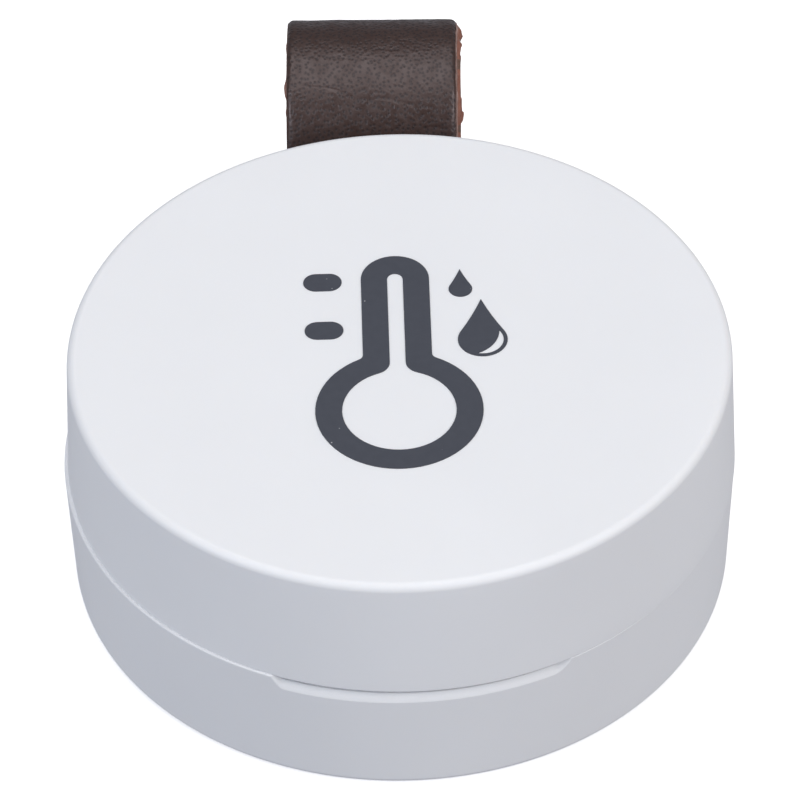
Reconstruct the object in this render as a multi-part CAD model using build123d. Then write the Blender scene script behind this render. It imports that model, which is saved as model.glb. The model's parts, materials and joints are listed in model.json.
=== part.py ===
from build123d import *

import os
from math import acos, atan2, cos, degrees, hypot, radians, sin, sqrt, tan

# Round case: two halves that part at the seam, both drawn in slightly away from it
seam_radius = 18.5
case_height = 15.0
seam_height = 7.43
cover_draft = 0.41
base_draft = 0.28
shell_wall = 1.3
cover_roof = 1.3
base_floor = 1.2
top_edge_radius = 0.7
foot_edge_radius = 0.45
floor_corner_radius = 0.4
seam_bevel = 0.12

# Tongue of the cover, which stands inside the base's rim, and the thicker band above it
tongue_depth = 1.5
tongue_thickness = 0.85
tongue_clearance = 0.05
band_rise = 2.3

# Notch at the front of the base's rim, to prise the cover off, with air vents behind it
notch_height = 0.87
notch_half_angle = 25.3
notch_corner_radius = 0.6
notch_lip_width = 0.35
notch_lip_height = 0.41
vent_count = 5
vent_width = 1.6
vent_pitch_angle = 8.0

# Leather strap, folded into a loop round its pin
strap_width = 10.0
strap_thickness = 1.2
loop_radius = 5.3
loop_stand_off = 6.8
loop_rise = 2.87
loop_neck_radius = 2.5
wrap_neck_radius = 1.0
loop_parting = 0.05
strap_end_gap = 0.2
swing_up_angle = 3.0
swing_down_angle = 18.0

# Cross pin of the strap, between two cheeks of the base
pin_radius = 0.6
pin_chamfer = 0.15
pin_inset = 2.3
pin_drop = 0.93
pin_clearance = 0.02
pin_overhang = 2.0
pin_end_gap = 0.05
strap_side_gap = 0.4
strap_swing_gap = 0.13
strap_relief_gap = 0.25
cheek_thickness = 1.9
cheek_depth = 1.9
cheek_top_gap = 0.15
finger_width = 1.2
finger_side_gap = 0.2
finger_groove_gap = 0.03
finger_pin_gap = 0.05
tongue_side_gap = 0.3

# Pegs of the cover and their sockets in the base's posts
peg_angles = (50.0, 130.0, 220.0, 320.0)
peg_circle_inset = 1.9
peg_radius = 0.7
peg_clearance = 0.02
peg_depth = 1.8
peg_end_gap = 0.4
peg_boss_radius = 1.2
peg_boss_gap = 0.2
post_radius = 1.2
post_top_gap = 0.13
shoulder_radius = 2.1

# Printed circuit board and its two screws
board_thickness = 1.0
board_edge_gap = 0.5
board_under_gap = 1.4
board_rear_gap = 0.75
board_post_gap = 0.2
sensor_slit_width = 0.5
sensor_slit_length = 1.7
sensor_slit_gap = 0.5
screw_angles = (20.0, 160.0)
screw_circle_inset = 2.3
screw_boss_radius = 1.7
screw_shank_radius = 0.8
screw_length = 2.3
screw_clearance = 0.02
screw_hole_gap = 0.1
screw_tip_gap = 0.05
screw_head_radius = 1.4
screw_head_height = 0.9
screw_head_rounding = 0.3
screw_cross_length = 1.6
screw_cross_width = 0.35
screw_cross_depth = 0.45

# Coin cell, can upwards, as large as the room round it allows: 24.5 mm across and 7.7 mm high
cell_shift = 1.5
cell_edge_radius = 0.5
cap_inset = 2.05
cap_drop = 0.4
cap_edge_radius = 0.25
crimp_depth = 0.9
gasket_width = 0.6
plus_length = 4.0
plus_width = 0.7
plus_depth = 0.06

# Moulded holder round the cell
holder_clearance = 0.1
holder_wall = 0.7
holder_height = 4.6
holder_ledge = 1.7
holder_window = 5.2
holder_peg_radius = 0.5
holder_peg_clearance = 0.05
holder_peg_short = 0.1

# Contact strips
contact_thickness = 0.2
contact_room = 0.6
contact_touch_gap = 0.04
negative_width = 3.2
negative_foot = 3.4
negative_arm = 2.6
negative_tip = 2.2
positive_width = 4.0
positive_foot = 2.2
positive_bow = 0.5
positive_bow_rise = 1.3
positive_upright = 2.0

# Foam pad between the cell and the cover
pad_radius = 7.0
pad_thickness = 1.7
pad_gap = 0.1

# Chips and small parts of the board
sensor_size = 1.5
sensor_height = 0.55
sensor_port_radius = 0.35
sensor_port_depth = 0.2
sensor_edge_gap = 0.35
sensor_holder_gap = 0.3
radio_size = 6.0
radio_height = 0.85
radio_centre_share = 0.12
chip_gap = 0.8
main_crystal_length = 2.5
main_crystal_width = 2.0
main_crystal_height = 0.6
clock_crystal_length = 2.0
clock_crystal_width = 1.2
clock_crystal_height = 0.5
antenna_length = 3.2
antenna_width = 1.6
antenna_height = 1.1
antenna_edge_gap = 1.2
coil_length = 2.0
coil_width = 1.25
coil_height = 0.9
large_cap_length = 3.2
large_cap_width = 1.6
large_cap_height = 1.1
small_length = 1.0
small_width = 0.5
small_height = 0.5
small_pitch = 1.3
small_cap_count = 4
resistor_height = 0.35
resistor_count = 3
radio_side_share = 0.25
terminal_length_share = 0.22
terminal_lip = 0.03
led_length = 1.6
led_width = 0.8
led_base_height = 0.25
led_lens_height = 0.35
led_lens_inset = 0.3
led_angle = 248.0
led_edge_gap = 0.7

# Push switch on the board
switch_angle = 352.0
switch_length = 3.0
switch_width = 2.6
switch_edge_gap = 0.55
switch_body_height = 1.1
switch_plate = 0.15
switch_tab_width = 1.0
switch_tab_gap = 0.02
switch_well_radius = 0.85
switch_well_floor = 0.33
switch_dome_radius = 0.75
switch_dome_height = 0.05
plunger_radius = 0.6
plunger_clearance = 0.03
plunger_proud = 0.45
plunger_edge_radius = 0.15
plunger_flange_radius = 0.8
plunger_travel = 0.25
plunger_rest_gap = 0.02
plunger_stop_gap = 0.05

# Printed pictogram: thermometer, two dashes and two drops, in ink
ink_thickness = 0.03
print_turn = -2.6
bulb_offset = -4.76
bulb_radius = 4.53
ink_stroke = 1.45
tube_half_width = 1.88
tube_top = 7.52
tube_corner_radius = 0.4
bore_half_width = 0.43
bore_corner_radius = 0.9
dash_length = 2.12
dash_height = 1.4
dash_places = ((-3.99, 5.51), (-3.96, 1.63))
small_drop_place = (3.58, 4.72)
small_drop_radius = 0.65
small_drop_tip = 1.59
large_drop_place = (4.67, 0.62)
large_drop_radius = 1.36
large_drop_tip = 3.21
drop_bulge_share = 0.02
glint_line = 0.22
glint_radius = 1.97
glint_offset = (-1.04, 0.725)

# Heights and radii that follow from these
cut_overrun = 1.0
base_bore = seam_radius - shell_wall
foot_radius = seam_radius - base_draft
cover_top_radius = seam_radius - cover_draft
chamber_radius = cover_top_radius - shell_wall
tongue_outer = base_bore - tongue_clearance
tongue_inner = tongue_outer - tongue_thickness
tongue_bottom = seam_height - tongue_depth
roof_underside = case_height - cover_roof
board_bottom = base_floor + board_under_gap
board_top = board_bottom + board_thickness
board_radius = base_bore - board_edge_gap
cell_bottom = board_top + contact_room
can_bottom = cell_bottom + cap_drop
cell_top = roof_underside - pad_thickness - pad_gap
sensor_inner = board_radius - sensor_edge_gap - sensor_size
holder_radius = sensor_inner - sensor_holder_gap - cell_shift
holder_bore = holder_radius - holder_wall
cell_radius = holder_bore - holder_clearance
cap_radius = cell_radius - cap_inset
board_rear = holder_radius - cell_shift + board_rear_gap
peg_circle = base_bore - peg_circle_inset
post_top = tongue_bottom - post_top_gap
peg_tip = post_top - peg_depth
screw_circle = base_bore - screw_circle_inset
pin_reach = base_bore - pin_inset
pin_height = seam_height - pin_drop
loop_centre_height = seam_height + loop_rise
pin_hole_radius = pin_radius + pin_clearance
wrap_radius = pin_hole_radius + strap_thickness
pin_half_length = strap_width / 2 + pin_overhang
loop_reach = seam_radius + loop_stand_off
neck_length = hypot(loop_reach - pin_reach, loop_centre_height - pin_height)
rest_angle = degrees(atan2(loop_centre_height - pin_height, loop_reach - pin_reach))
slot_half_width = strap_width / 2 + strap_side_gap


def around(radius, angle):
    """Place on a circle about the upright axis, with the angle counted from +X."""
    return radius * cos(radians(angle)), radius * sin(radians(angle))


def disc(radius, low, high, place=(0, 0)):
    """Upright round solid between two heights."""
    lower = (Align.CENTER, Align.CENTER, Align.MIN)
    return Pos(place[0], place[1], low) * Cylinder(radius, high - low, align=lower)


def ring(inner, outer, low, high, place=(0, 0)):
    """Upright tube between two heights."""
    return disc(outer, low, high, place) - disc(inner, low - cut_overrun, high + cut_overrun, place)


def block(x, y, z):
    """Box between a low and a high value along each axis."""
    middle = [(low + high) / 2 for low, high in (x, y, z)]
    return Pos(*middle) * Box(x[1] - x[0], y[1] - y[0], z[1] - z[0])


def turned(outline):
    """Solid of revolution from radius and height pairs."""
    points = [(radius, 0, height) for radius, height in outline]
    return revolve(make_face(Polyline(*points, close=True)), Axis.Z)


def edges_at(shape, height, least_radius):
    """Round edges of one height that lie at least so far out."""
    level = shape.edges().filter_by(GeomType.CIRCLE)
    return [e for e in level if abs(e.center().Z - height) < ink_thickness and e.radius > least_radius]


def strip(points, thickness):
    """Outline of a bent strip about its centre line, with mitred bends."""
    sides = []
    for side in (1, -1):
        run = []
        for i, point in enumerate(points):
            before = points[max(i - 1, 0)]
            after = points[min(i + 1, len(points) - 1)]
            turn_in = atan2(point[1] - before[1], point[0] - before[0]) if i else None
            turn_out = atan2(after[1] - point[1], after[0] - point[0]) if i < len(points) - 1 else None
            turn_in = turn_out if turn_in is None else turn_in
            turn_out = turn_in if turn_out is None else turn_out
            middle = (turn_in + turn_out) / 2
            reach = side * thickness / 2 / cos((turn_out - turn_in) / 2)
            run.append((point[0] - reach * sin(middle), point[1] + reach * cos(middle)))
        sides.append(run)
    return make_face(Polyline(*sides[0], *reversed(sides[1]), close=True))


def slot_heights():
    """Lower and upper edge of the strap's slot, which clears the strap over its swing."""
    half = strap_thickness
    up = radians(rest_angle + swing_up_angle)
    down = radians(rest_angle - swing_down_angle)
    wall_inside = sqrt(base_bore**2 - slot_half_width**2)
    highs = [pin_height + (y - pin_reach) * tan(up) + half / cos(up) for y in (wall_inside, seam_radius)]
    lows = [pin_height + (y - pin_reach) * tan(down) - half / cos(down) for y in (wall_inside, seam_radius)]
    return min(lows) - strap_swing_gap, max(highs) + strap_swing_gap


def strap_slot():
    """Space of the slot, right through the rear wall of both halves."""
    low, high = slot_heights()
    across = (-slot_half_width, slot_half_width)
    return block(across, (pin_reach, loop_reach), (low, high))


def pry_notch():
    """Space of the front notch: a low band under the seam with a sloping lip and round lower corners."""
    low = seam_height - notch_height
    band_low = low + notch_lip_height
    lip_inner = seam_radius - notch_lip_width
    outer = seam_radius + cut_overrun
    slope = notch_lip_height / notch_lip_width
    outline = [
        (tongue_inner, band_low),
        (lip_inner, band_low),
        (outer, low - slope * cut_overrun),
        (outer, seam_height + cut_overrun),
        (tongue_inner, seam_height + cut_overrun),
    ]
    points = [(radius, 0, height) for radius, height in outline]
    corner_angle = degrees(notch_corner_radius / seam_radius)
    section = make_face(Polyline(*points, close=True))
    inner_half = notch_half_angle - corner_angle
    space = Rot(Z=-90 - inner_half) * revolve(section, Axis.Z, 2 * inner_half)
    corner_low = low + notch_corner_radius
    upper = [(tongue_inner, corner_low), (outer, corner_low)] + outline[3:]
    upper_section = make_face(Polyline(*[(radius, 0, height) for radius, height in upper], close=True))
    space += Rot(Z=-90 - notch_half_angle) * revolve(upper_section, Axis.Z, 2 * notch_half_angle)
    reach, run = lip_inner - tongue_inner, outer - lip_inner
    band_corner = notch_corner_radius - notch_lip_height
    rod = Rot(Y=90) * Cylinder(band_corner, reach)
    cone = Rot(Y=90) * Cone(band_corner, band_corner + slope * run, run)
    corner = Pos(tongue_inner + reach / 2, 0, corner_low) * rod
    corner += Pos(lip_inner + run / 2, 0, corner_low) * cone
    for side in (-1, 1):
        space += Rot(Z=-90 + side * inner_half) * corner
    return space


def base_post(place):
    """Post with a shoulder for the board and a socket for a peg of the cover."""
    post = disc(shoulder_radius, 0, board_bottom, place) + disc(post_radius, 0, post_top, place)
    socket = disc(peg_radius + peg_clearance, peg_tip - peg_end_gap, post_top + cut_overrun, place)
    return post, socket


def base_cheeks():
    """Two cheeks beside the slot, each with an open groove for one end of the pin."""
    top = seam_height - cheek_top_gap
    outer = slot_half_width + cheek_thickness
    depth = (pin_reach - cheek_depth, base_bore + shell_wall / 2)
    cheeks = block((-outer, outer), depth, (0, top))
    cheeks -= block((-slot_half_width, slot_half_width), (0, seam_radius), (0, seam_height))
    cheeks &= disc(base_bore + shell_wall / 2, 0, seam_height)
    groove_half = pin_half_length + pin_end_gap
    groove = Pos(0, pin_reach, pin_height) * Rot(Y=90) * Cylinder(pin_hole_radius, 2 * groove_half)
    above = (pin_height, seam_height)
    sides = (pin_reach - pin_hole_radius, pin_reach + pin_hole_radius)
    groove += block((-groove_half, groove_half), sides, above)
    return cheeks, groove


def make_base_shell():
    outline = [(0, 0), (foot_radius, 0), (seam_radius, seam_height), (0, seam_height)]
    shell = turned(outline)
    shell = fillet(edges_at(shell, 0, base_bore), foot_edge_radius)
    shell = chamfer(edges_at(shell, seam_height, base_bore), seam_bevel)
    hollow = disc(base_bore, base_floor, seam_height + cut_overrun)
    hollow = fillet(edges_at(hollow, base_floor, cell_radius), floor_corner_radius)
    shell -= hollow
    cheeks, groove = base_cheeks()
    shell += cheeks
    sockets = []
    for angle in peg_angles:
        post, socket = base_post(around(peg_circle, angle))
        shell += post
        sockets.append(socket)
    for angle in screw_angles:
        place = around(screw_circle, angle)
        shell += disc(screw_boss_radius, 0, board_bottom, place)
        low = board_top - screw_length - screw_tip_gap
        sockets.append(disc(screw_shank_radius + screw_clearance, low, board_top, place))
    relief = Pos(0, pin_reach, pin_height) * Rot(Y=90)
    relief *= Cylinder(wrap_radius + strap_relief_gap, 2 * slot_half_width)
    for space in (*sockets, groove, relief, strap_slot(), pry_notch()):
        shell -= space
    return shell


def make_top_cover():
    lower = [(0, seam_height), (seam_radius, seam_height)]
    cover = turned(lower + [(cover_top_radius, case_height), (0, case_height)])
    cover = fillet(edges_at(cover, case_height, chamber_radius), top_edge_radius)
    cover = chamfer(edges_at(cover, seam_height, base_bore), seam_bevel)
    tongue = ring(tongue_inner, tongue_outer, tongue_bottom, seam_height + seam_bevel)
    outer = slot_half_width + cheek_thickness + tongue_side_gap
    tongue -= block((-outer, outer), (0, seam_radius), (0, seam_height))
    for i in range(vent_count):
        angle = -90 + (i - (vent_count - 1) / 2) * vent_pitch_angle
        low = tongue_bottom - cut_overrun
        half = vent_width / 2
        gap = block((0, seam_radius), (-half, half), (low, seam_height - seam_bevel))
        tongue -= Rot(Z=angle) * gap
    cover += tongue
    band_top = seam_height + band_rise
    cover -= disc(tongue_inner, seam_height - cut_overrun, band_top)
    cover -= disc(chamber_radius, band_top, roof_underside)
    for angle in peg_angles:
        place = around(peg_circle, angle)
        boss_low = board_top + holder_height + peg_boss_gap
        cover += disc(peg_boss_radius, boss_low, roof_underside + cover_roof / 2, place)
        cover += disc(peg_radius, peg_tip, boss_low + peg_boss_gap, place)
    for side in (-1, 1):
        cover += cover_finger(side)
    return cover - strap_slot()


def cover_finger(side):
    """Finger that keeps one end of the pin down, with a web to the wall above the seam."""
    near = slot_half_width + finger_side_gap
    across = sorted((side * near, side * (near + finger_width)))
    half = pin_hole_radius - finger_groove_gap
    low = pin_height + pin_radius + finger_pin_gap
    top = roof_underside + cover_roof / 2
    finger = block(across, (pin_reach - half, pin_reach + half), (low, top))
    web = block(across, (pin_reach, seam_radius), (seam_height + seam_bevel, top))
    return finger + (web & disc(chamber_radius + shell_wall / 2, 0, top))


def make_leather_strap():
    outer = Pos(neck_length, 0) * Circle(loop_radius) + Circle(wrap_radius)
    outer += Pos(neck_length / 2, 0) * Rectangle(neck_length, 2 * strap_thickness)
    on_loop = sqrt(loop_radius**2 - strap_thickness**2)
    loop_corner = neck_length - on_loop
    corners = outer.vertices().filter_by(lambda v: abs(v.X - loop_corner) < strap_end_gap)
    outer = fillet(corners, loop_neck_radius)
    wrap_corner = sqrt(wrap_radius**2 - strap_thickness**2)
    corners = outer.vertices().filter_by(lambda v: abs(v.X - wrap_corner) < strap_end_gap)
    outer = fillet(corners, wrap_neck_radius)
    leg_radius = loop_neck_radius + strap_thickness
    leg_centre = neck_length - sqrt((loop_radius + loop_neck_radius) ** 2 - leg_radius**2)
    inner = Pos(neck_length, 0) * Circle(loop_radius - strap_thickness)
    parting = leg_centre + sqrt(2 * leg_radius * loop_parting)
    spread = (loop_radius - strap_thickness) / (loop_radius + loop_neck_radius)
    meet = neck_length - (neck_length - leg_centre) * spread
    gap = Pos((parting + meet) / 2, 0) * Rectangle(meet - parting, 2 * leg_radius * spread)
    for side in (-1, 1):
        gap -= Pos(leg_centre, side * leg_radius) * Circle(leg_radius)
    profile = outer - inner - gap - Circle(pin_hole_radius)
    profile -= Pos(-wrap_radius / 2, 0) * Rectangle(wrap_radius, strap_end_gap)
    lean = radians(rest_angle)
    side_plane = Plane(origin=(0, pin_reach, pin_height), x_dir=(0, cos(lean), sin(lean)), z_dir=(1, 0, 0))
    return extrude(side_plane * profile, strap_width / 2, both=True)


def make_strap_pin():
    pin = Rot(Y=90) * Cylinder(pin_radius, 2 * pin_half_length)
    pin = chamfer(pin.edges().filter_by(GeomType.CIRCLE), pin_chamfer)
    return Pos(0, pin_reach, pin_height) * pin


def make_main_board():
    board = disc(board_radius, board_bottom, board_top)
    through = (board_bottom - cut_overrun, board_top + cut_overrun)
    board -= block((-seam_radius, seam_radius), (board_rear, seam_radius), through)
    hole = post_radius + board_post_gap
    for angle in peg_angles:
        board -= disc(hole, *through, around(peg_circle, angle))
        board -= Rot(Z=angle) * block((peg_circle, seam_radius), (-hole, hole), through)
    for angle in screw_angles:
        board -= disc(screw_shank_radius + screw_hole_gap, *through, around(screw_circle, angle))
    for place in holder_peg_places():
        board -= disc(holder_peg_radius + holder_peg_clearance, *through, place)
    sensor_y = sensor_place()[1]
    near = sensor_size / 2 + sensor_slit_gap
    depth = (sensor_y - sensor_size / 2, sensor_y - sensor_size / 2 + sensor_slit_length)
    for side in (-1, 1):
        across = sorted((side * near, side * (near + sensor_slit_width)))
        board -= block(across, depth, through)
    return board


def make_board_screws():
    screws = []
    for angle in screw_angles:
        place = around(screw_circle, angle)
        head_top = board_top + screw_head_height
        head = disc(screw_head_radius, board_top, head_top, place)
        head = fillet(edges_at(head, head_top, screw_shank_radius), screw_head_rounding)
        screw = head + disc(screw_shank_radius, board_top - screw_length, board_top, place)
        for turn in (0, 90):
            half = (-screw_cross_length / 2, screw_cross_length / 2)
            width = (-screw_cross_width / 2, screw_cross_width / 2)
            cross = block(half, width, (head_top - screw_cross_depth, head_top + cut_overrun))
            screw -= Pos(*place) * Rot(Z=angle + turn) * cross
        screws.append(screw)
    return Compound(children=screws)


def holder_peg_places():
    """Two pegs of the holder, in front of and behind the cell."""
    reach = holder_bore - holder_ledge / 2
    return [(0, -cell_shift + side * reach) for side in (-1, 1)]


def make_cell_holder():
    place = (0, -cell_shift)
    holder = ring(holder_bore, holder_radius, board_top, board_top + holder_height, place)
    half = holder_window / 2
    window = (-cell_shift - half, -cell_shift + half)
    holder -= block((-seam_radius, seam_radius), window, (0, case_height))
    holder += ring(holder_bore - holder_ledge, holder_bore, board_top, can_bottom, place)
    for peg in holder_peg_places():
        holder += disc(holder_peg_radius, board_bottom + holder_peg_short, board_top, peg)
    return holder


def make_cell_can():
    place = (0, -cell_shift)
    can = disc(cell_radius, can_bottom, cell_top, place)
    can = fillet(edges_at(can, cell_top, cap_radius), cell_edge_radius)
    can -= disc(cap_radius + gasket_width, can_bottom - cut_overrun, can_bottom + crimp_depth, place)
    half = plus_length / 2
    across = plus_width / 2
    marks = (cell_top - plus_depth, cell_top + cut_overrun)
    plus = block((-half, half), (-across, across), marks) + block((-across, across), (-half, half), marks)
    return can - Pos(0, -cell_shift) * plus


def make_cell_gasket():
    place = (0, -cell_shift)
    return ring(cap_radius, cap_radius + gasket_width, can_bottom, can_bottom + crimp_depth, place)


def make_cell_cap():
    cap = disc(cap_radius, cell_bottom, can_bottom + crimp_depth, (0, -cell_shift))
    return fillet(edges_at(cap, cell_bottom, pad_radius), cap_edge_radius)


def bent_strip(points, width):
    """Strip bent in an upright plane through the cell's centre, along X."""
    face = Plane.XZ * strip(points, contact_thickness)
    return Pos(0, -cell_shift, 0) * extrude(face, width / 2, both=True)


def make_negative_contact():
    foot_height = board_top + contact_thickness / 2
    arm_height = cell_bottom - contact_touch_gap - contact_thickness / 2
    foot_end = -negative_arm / 2
    points = [
        (foot_end - negative_foot, foot_height),
        (foot_end, foot_height),
        (-foot_end, arm_height),
        (-foot_end + negative_tip, arm_height),
    ]
    return bent_strip(points, negative_width)


def make_positive_contact():
    foot_height = board_top + contact_thickness / 2
    touch = -(cell_radius + contact_touch_gap + contact_thickness / 2)
    upright = touch - positive_bow
    bow_low = foot_height + positive_upright
    points = [
        (upright - positive_foot, foot_height),
        (upright, foot_height),
        (upright, bow_low),
        (touch, bow_low + positive_bow_rise),
        (upright, bow_low + 2 * positive_bow_rise),
    ]
    return bent_strip(points, positive_width)


def make_cell_pad():
    return disc(pad_radius, cell_top + pad_gap, roof_underside, (0, -cell_shift))


def chip(length, width, height, place, turn=0, below=True):
    """Box-shaped part soldered under the board, or on top of it."""
    level = (board_bottom - height, board_bottom) if below else (board_top, board_top + height)
    body = block((-length / 2, length / 2), (-width / 2, width / 2), level)
    return Pos(*place) * Rot(Z=turn) * body


def two_ended(length, width, height, place, turn=0):
    """Small soldered part under the board, with a plated cap proud at each end."""
    body = chip(length, width, height, (0, 0))
    end = length * terminal_length_share
    low = board_bottom - height - terminal_lip
    across = (-width / 2 - terminal_lip, width / 2 + terminal_lip)
    for side in (-1, 1):
        along = sorted((side * (length / 2 - end), side * (length / 2 + terminal_lip)))
        body += block(along, across, (low, board_bottom))
    return Pos(*place) * Rot(Z=turn) * body


def sensor_place():
    """Sensor chip at the board's front edge, behind the notch."""
    return 0, -(sensor_inner + sensor_size / 2)


def make_humidity_sensor():
    place = sensor_place()
    body = chip(sensor_size, sensor_size, sensor_height, place, below=False)
    top = board_top + sensor_height
    return body - disc(sensor_port_radius, top - sensor_port_depth, top + cut_overrun, place)


def radio_place():
    return 0, board_radius * radio_centre_share


def make_radio_chip():
    return chip(radio_size, radio_size, radio_height, radio_place())


def beside_radio(part_length):
    """Distance along X from the radio chip's centre to a part that stands beside it."""
    return radio_size / 2 + chip_gap + small_width + chip_gap + part_length / 2


def make_main_crystal():
    place = (beside_radio(main_crystal_width), radio_place()[1] + radio_size * radio_side_share)
    return chip(main_crystal_length, main_crystal_width, main_crystal_height, place, 90)


def make_clock_crystal():
    place = (beside_radio(clock_crystal_width), radio_place()[1] - radio_size * radio_side_share)
    return chip(clock_crystal_length, clock_crystal_width, clock_crystal_height, place, 90)


def make_chip_antenna():
    reach = board_radius - antenna_edge_gap - antenna_width / 2
    return chip(antenna_length, antenna_width, antenna_height, (-reach, -cell_shift), 90)


def make_power_coils():
    x = -beside_radio(coil_width)
    middle = radio_place()[1]
    step = radio_size * radio_side_share
    places = [(x, middle + side * step) for side in (-1, 1)]
    return Compound(children=[two_ended(coil_length, coil_width, coil_height, p, 90) for p in places])


def make_large_capacitors():
    y = radio_place()[1] - radio_size / 2 - chip_gap - small_width - chip_gap - large_cap_width / 2
    step = (large_cap_length + chip_gap) / 2
    places = [(side * step, y) for side in (-1, 1)]
    size = (large_cap_length, large_cap_width, large_cap_height)
    return Compound(children=[two_ended(*size, p) for p in places])


def small_row(count, side):
    """Places of a row of small parts along one edge of the radio chip, in front or behind."""
    y = radio_place()[1] + side * (radio_size / 2 + chip_gap + small_length / 2)
    return [((i - (count - 1) / 2) * small_pitch, y) for i in range(count)]


def make_small_capacitors():
    places = small_row(small_cap_count, 1)
    x = radio_size / 2 + chip_gap + small_width / 2
    middle = radio_place()[1]
    parts = [two_ended(small_length, small_width, small_height, p, 90) for p in places]
    for side in (-1, 1):
        for step in (-1, 1):
            place = (side * x, middle + step * small_pitch)
            parts.append(two_ended(small_length, small_width, small_height, place, 90))
    return Compound(children=parts)


def make_resistors():
    y = radio_place()[1] - radio_size / 2 - chip_gap - small_width / 2
    pitch = small_pitch + small_length / 2
    places = [((i - (resistor_count - 1) / 2) * pitch, y) for i in range(resistor_count)]
    size = (small_length, small_width, resistor_height)
    return Compound(children=[two_ended(*size, p) for p in places])


def make_status_led():
    reach = board_radius - led_edge_gap - led_width / 2
    place = around(reach, led_angle)
    base = chip(led_width, led_length, led_base_height, place, led_angle, below=False)
    low = board_top + led_base_height
    half = led_length / 2 - led_lens_inset
    lens = block((-led_width / 2, led_width / 2), (-half, half), (low, low + led_lens_height))
    return base + Pos(*place) * Rot(Z=led_angle) * lens


def switch_place():
    return around(board_radius - switch_edge_gap - switch_width / 2, switch_angle)


def on_switch(shape):
    """Moves a piece made about the upright axis to the switch."""
    return Pos(*switch_place()) * Rot(Z=switch_angle) * shape


def make_switch_body():
    across = (-switch_width / 2, switch_width / 2)
    along = (-switch_length / 2, switch_length / 2)
    top = board_top + switch_body_height
    body = block(across, along, (board_top, top))
    well = disc(switch_well_radius, board_top + switch_well_floor, top + cut_overrun)
    return on_switch(body - well)


def make_switch_frame():
    low = board_top + switch_body_height
    across = (-switch_width / 2, switch_width / 2)
    far = switch_length / 2 + switch_tab_gap + switch_plate
    frame = block(across, (-far, far), (low, low + switch_plate))
    for side in (-1, 1):
        along = sorted((side * (far - switch_plate), side * far))
        half = switch_tab_width / 2
        frame += block((-half, half), along, (board_top, low + switch_plate))
    hole = disc(plunger_radius + plunger_clearance, low - cut_overrun, low + switch_plate + cut_overrun)
    return on_switch(frame - hole)


def make_switch_dome():
    low = board_top + switch_well_floor
    return on_switch(disc(switch_dome_radius, low, low + switch_dome_height))


def make_switch_plunger():
    under_plate = board_top + switch_body_height - plunger_rest_gap
    dome_top = board_top + switch_well_floor + switch_dome_height
    flange = disc(plunger_flange_radius, dome_top + plunger_travel + plunger_stop_gap, under_plate)
    top = board_top + switch_body_height + switch_plate + plunger_proud
    stem = disc(plunger_radius, under_plate, top)
    stem = fillet(edges_at(stem, top, 0), plunger_edge_radius)
    return on_switch(flange + stem)


def drop_face(place, radius, tip):
    """Drop: a round foot and two slightly full sides that meet in a point above."""
    lean = acos(radius / tip)
    side = Vector(radius * sin(lean), radius * cos(lean))
    point = Vector(0, tip)
    run = point - side
    full = side + run * 0.5 + Vector(run.Y, -run.X) * -drop_bulge_share
    mirrored = [Vector(-v.X, v.Y) for v in (side, full)]
    right = ThreePointArc(point, full, side)
    foot = ThreePointArc(side, Vector(0, -radius), mirrored[0])
    left = ThreePointArc(mirrored[0], mirrored[1], point)
    return Pos(*place) * make_face([right, foot, left])


def thermometer_face():
    """Thermometer: a tube with a round end on a round bulb, drawn as one stroke."""
    cap_height = tube_top - tube_half_width
    reach = cap_height - bulb_offset
    outer = Pos(0, bulb_offset) * Circle(bulb_radius)
    outer += Pos(0, bulb_offset + reach / 2) * Rectangle(2 * tube_half_width, reach)
    outer += Pos(0, cap_height) * Circle(tube_half_width)
    corners = outer.vertices().filter_by(lambda v: v.Y < cap_height / 2)
    outer = fillet(corners, tube_corner_radius)
    bore_top = tube_top - ink_stroke - bore_half_width
    bore_reach = bore_top - bulb_offset
    inner = Pos(0, bulb_offset) * Circle(bulb_radius - ink_stroke)
    inner += Pos(0, bulb_offset + bore_reach / 2) * Rectangle(2 * bore_half_width, bore_reach)
    inner += Pos(0, bore_top) * Circle(bore_half_width)
    corners = inner.vertices().filter_by(lambda v: v.Y < bore_top / 2)
    return outer - fillet(corners, bore_corner_radius)


def make_pictogram_print():
    faces = [thermometer_face()]
    for place in dash_places:
        faces.append(Pos(*place) * SlotOverall(dash_length, dash_height))
    faces.append(drop_face(small_drop_place, small_drop_radius, small_drop_tip))
    x, y = large_drop_place
    glint = Pos(x, y) * Circle(large_drop_radius - glint_line)
    glint -= Pos(x + glint_offset[0], y + glint_offset[1]) * Circle(glint_radius)
    faces.append(drop_face(large_drop_place, large_drop_radius, large_drop_tip) - glint)
    marks = [extrude(face, ink_thickness) for face in faces]
    return Pos(0, 0, case_height) * Rot(Z=print_turn) * Compound(children=marks)


pieces = {
    "base_shell": make_base_shell,
    "top_cover": make_top_cover,
    "pictogram_print": make_pictogram_print,
    "leather_strap": make_leather_strap,
    "strap_pin": make_strap_pin,
    "main_board": make_main_board,
    "board_screws": make_board_screws,
    "cell_holder": make_cell_holder,
    "positive_contact": make_positive_contact,
    "negative_contact": make_negative_contact,
    "cell_can": make_cell_can,
    "cell_gasket": make_cell_gasket,
    "cell_cap": make_cell_cap,
    "cell_pad": make_cell_pad,
    "humidity_sensor": make_humidity_sensor,
    "radio_chip": make_radio_chip,
    "main_crystal": make_main_crystal,
    "clock_crystal": make_clock_crystal,
    "chip_antenna": make_chip_antenna,
    "power_coils": make_power_coils,
    "large_capacitors": make_large_capacitors,
    "small_capacitors": make_small_capacitors,
    "resistors": make_resistors,
    "status_led": make_status_led,
    "switch_body": make_switch_body,
    "switch_frame": make_switch_frame,
    "switch_dome": make_switch_dome,
    "switch_plunger": make_switch_plunger,
}

os.makedirs("parts", exist_ok=True)
for name, make in pieces.items():
    export_step(make(), f"parts/{name}.step")
    print("made", name)
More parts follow.
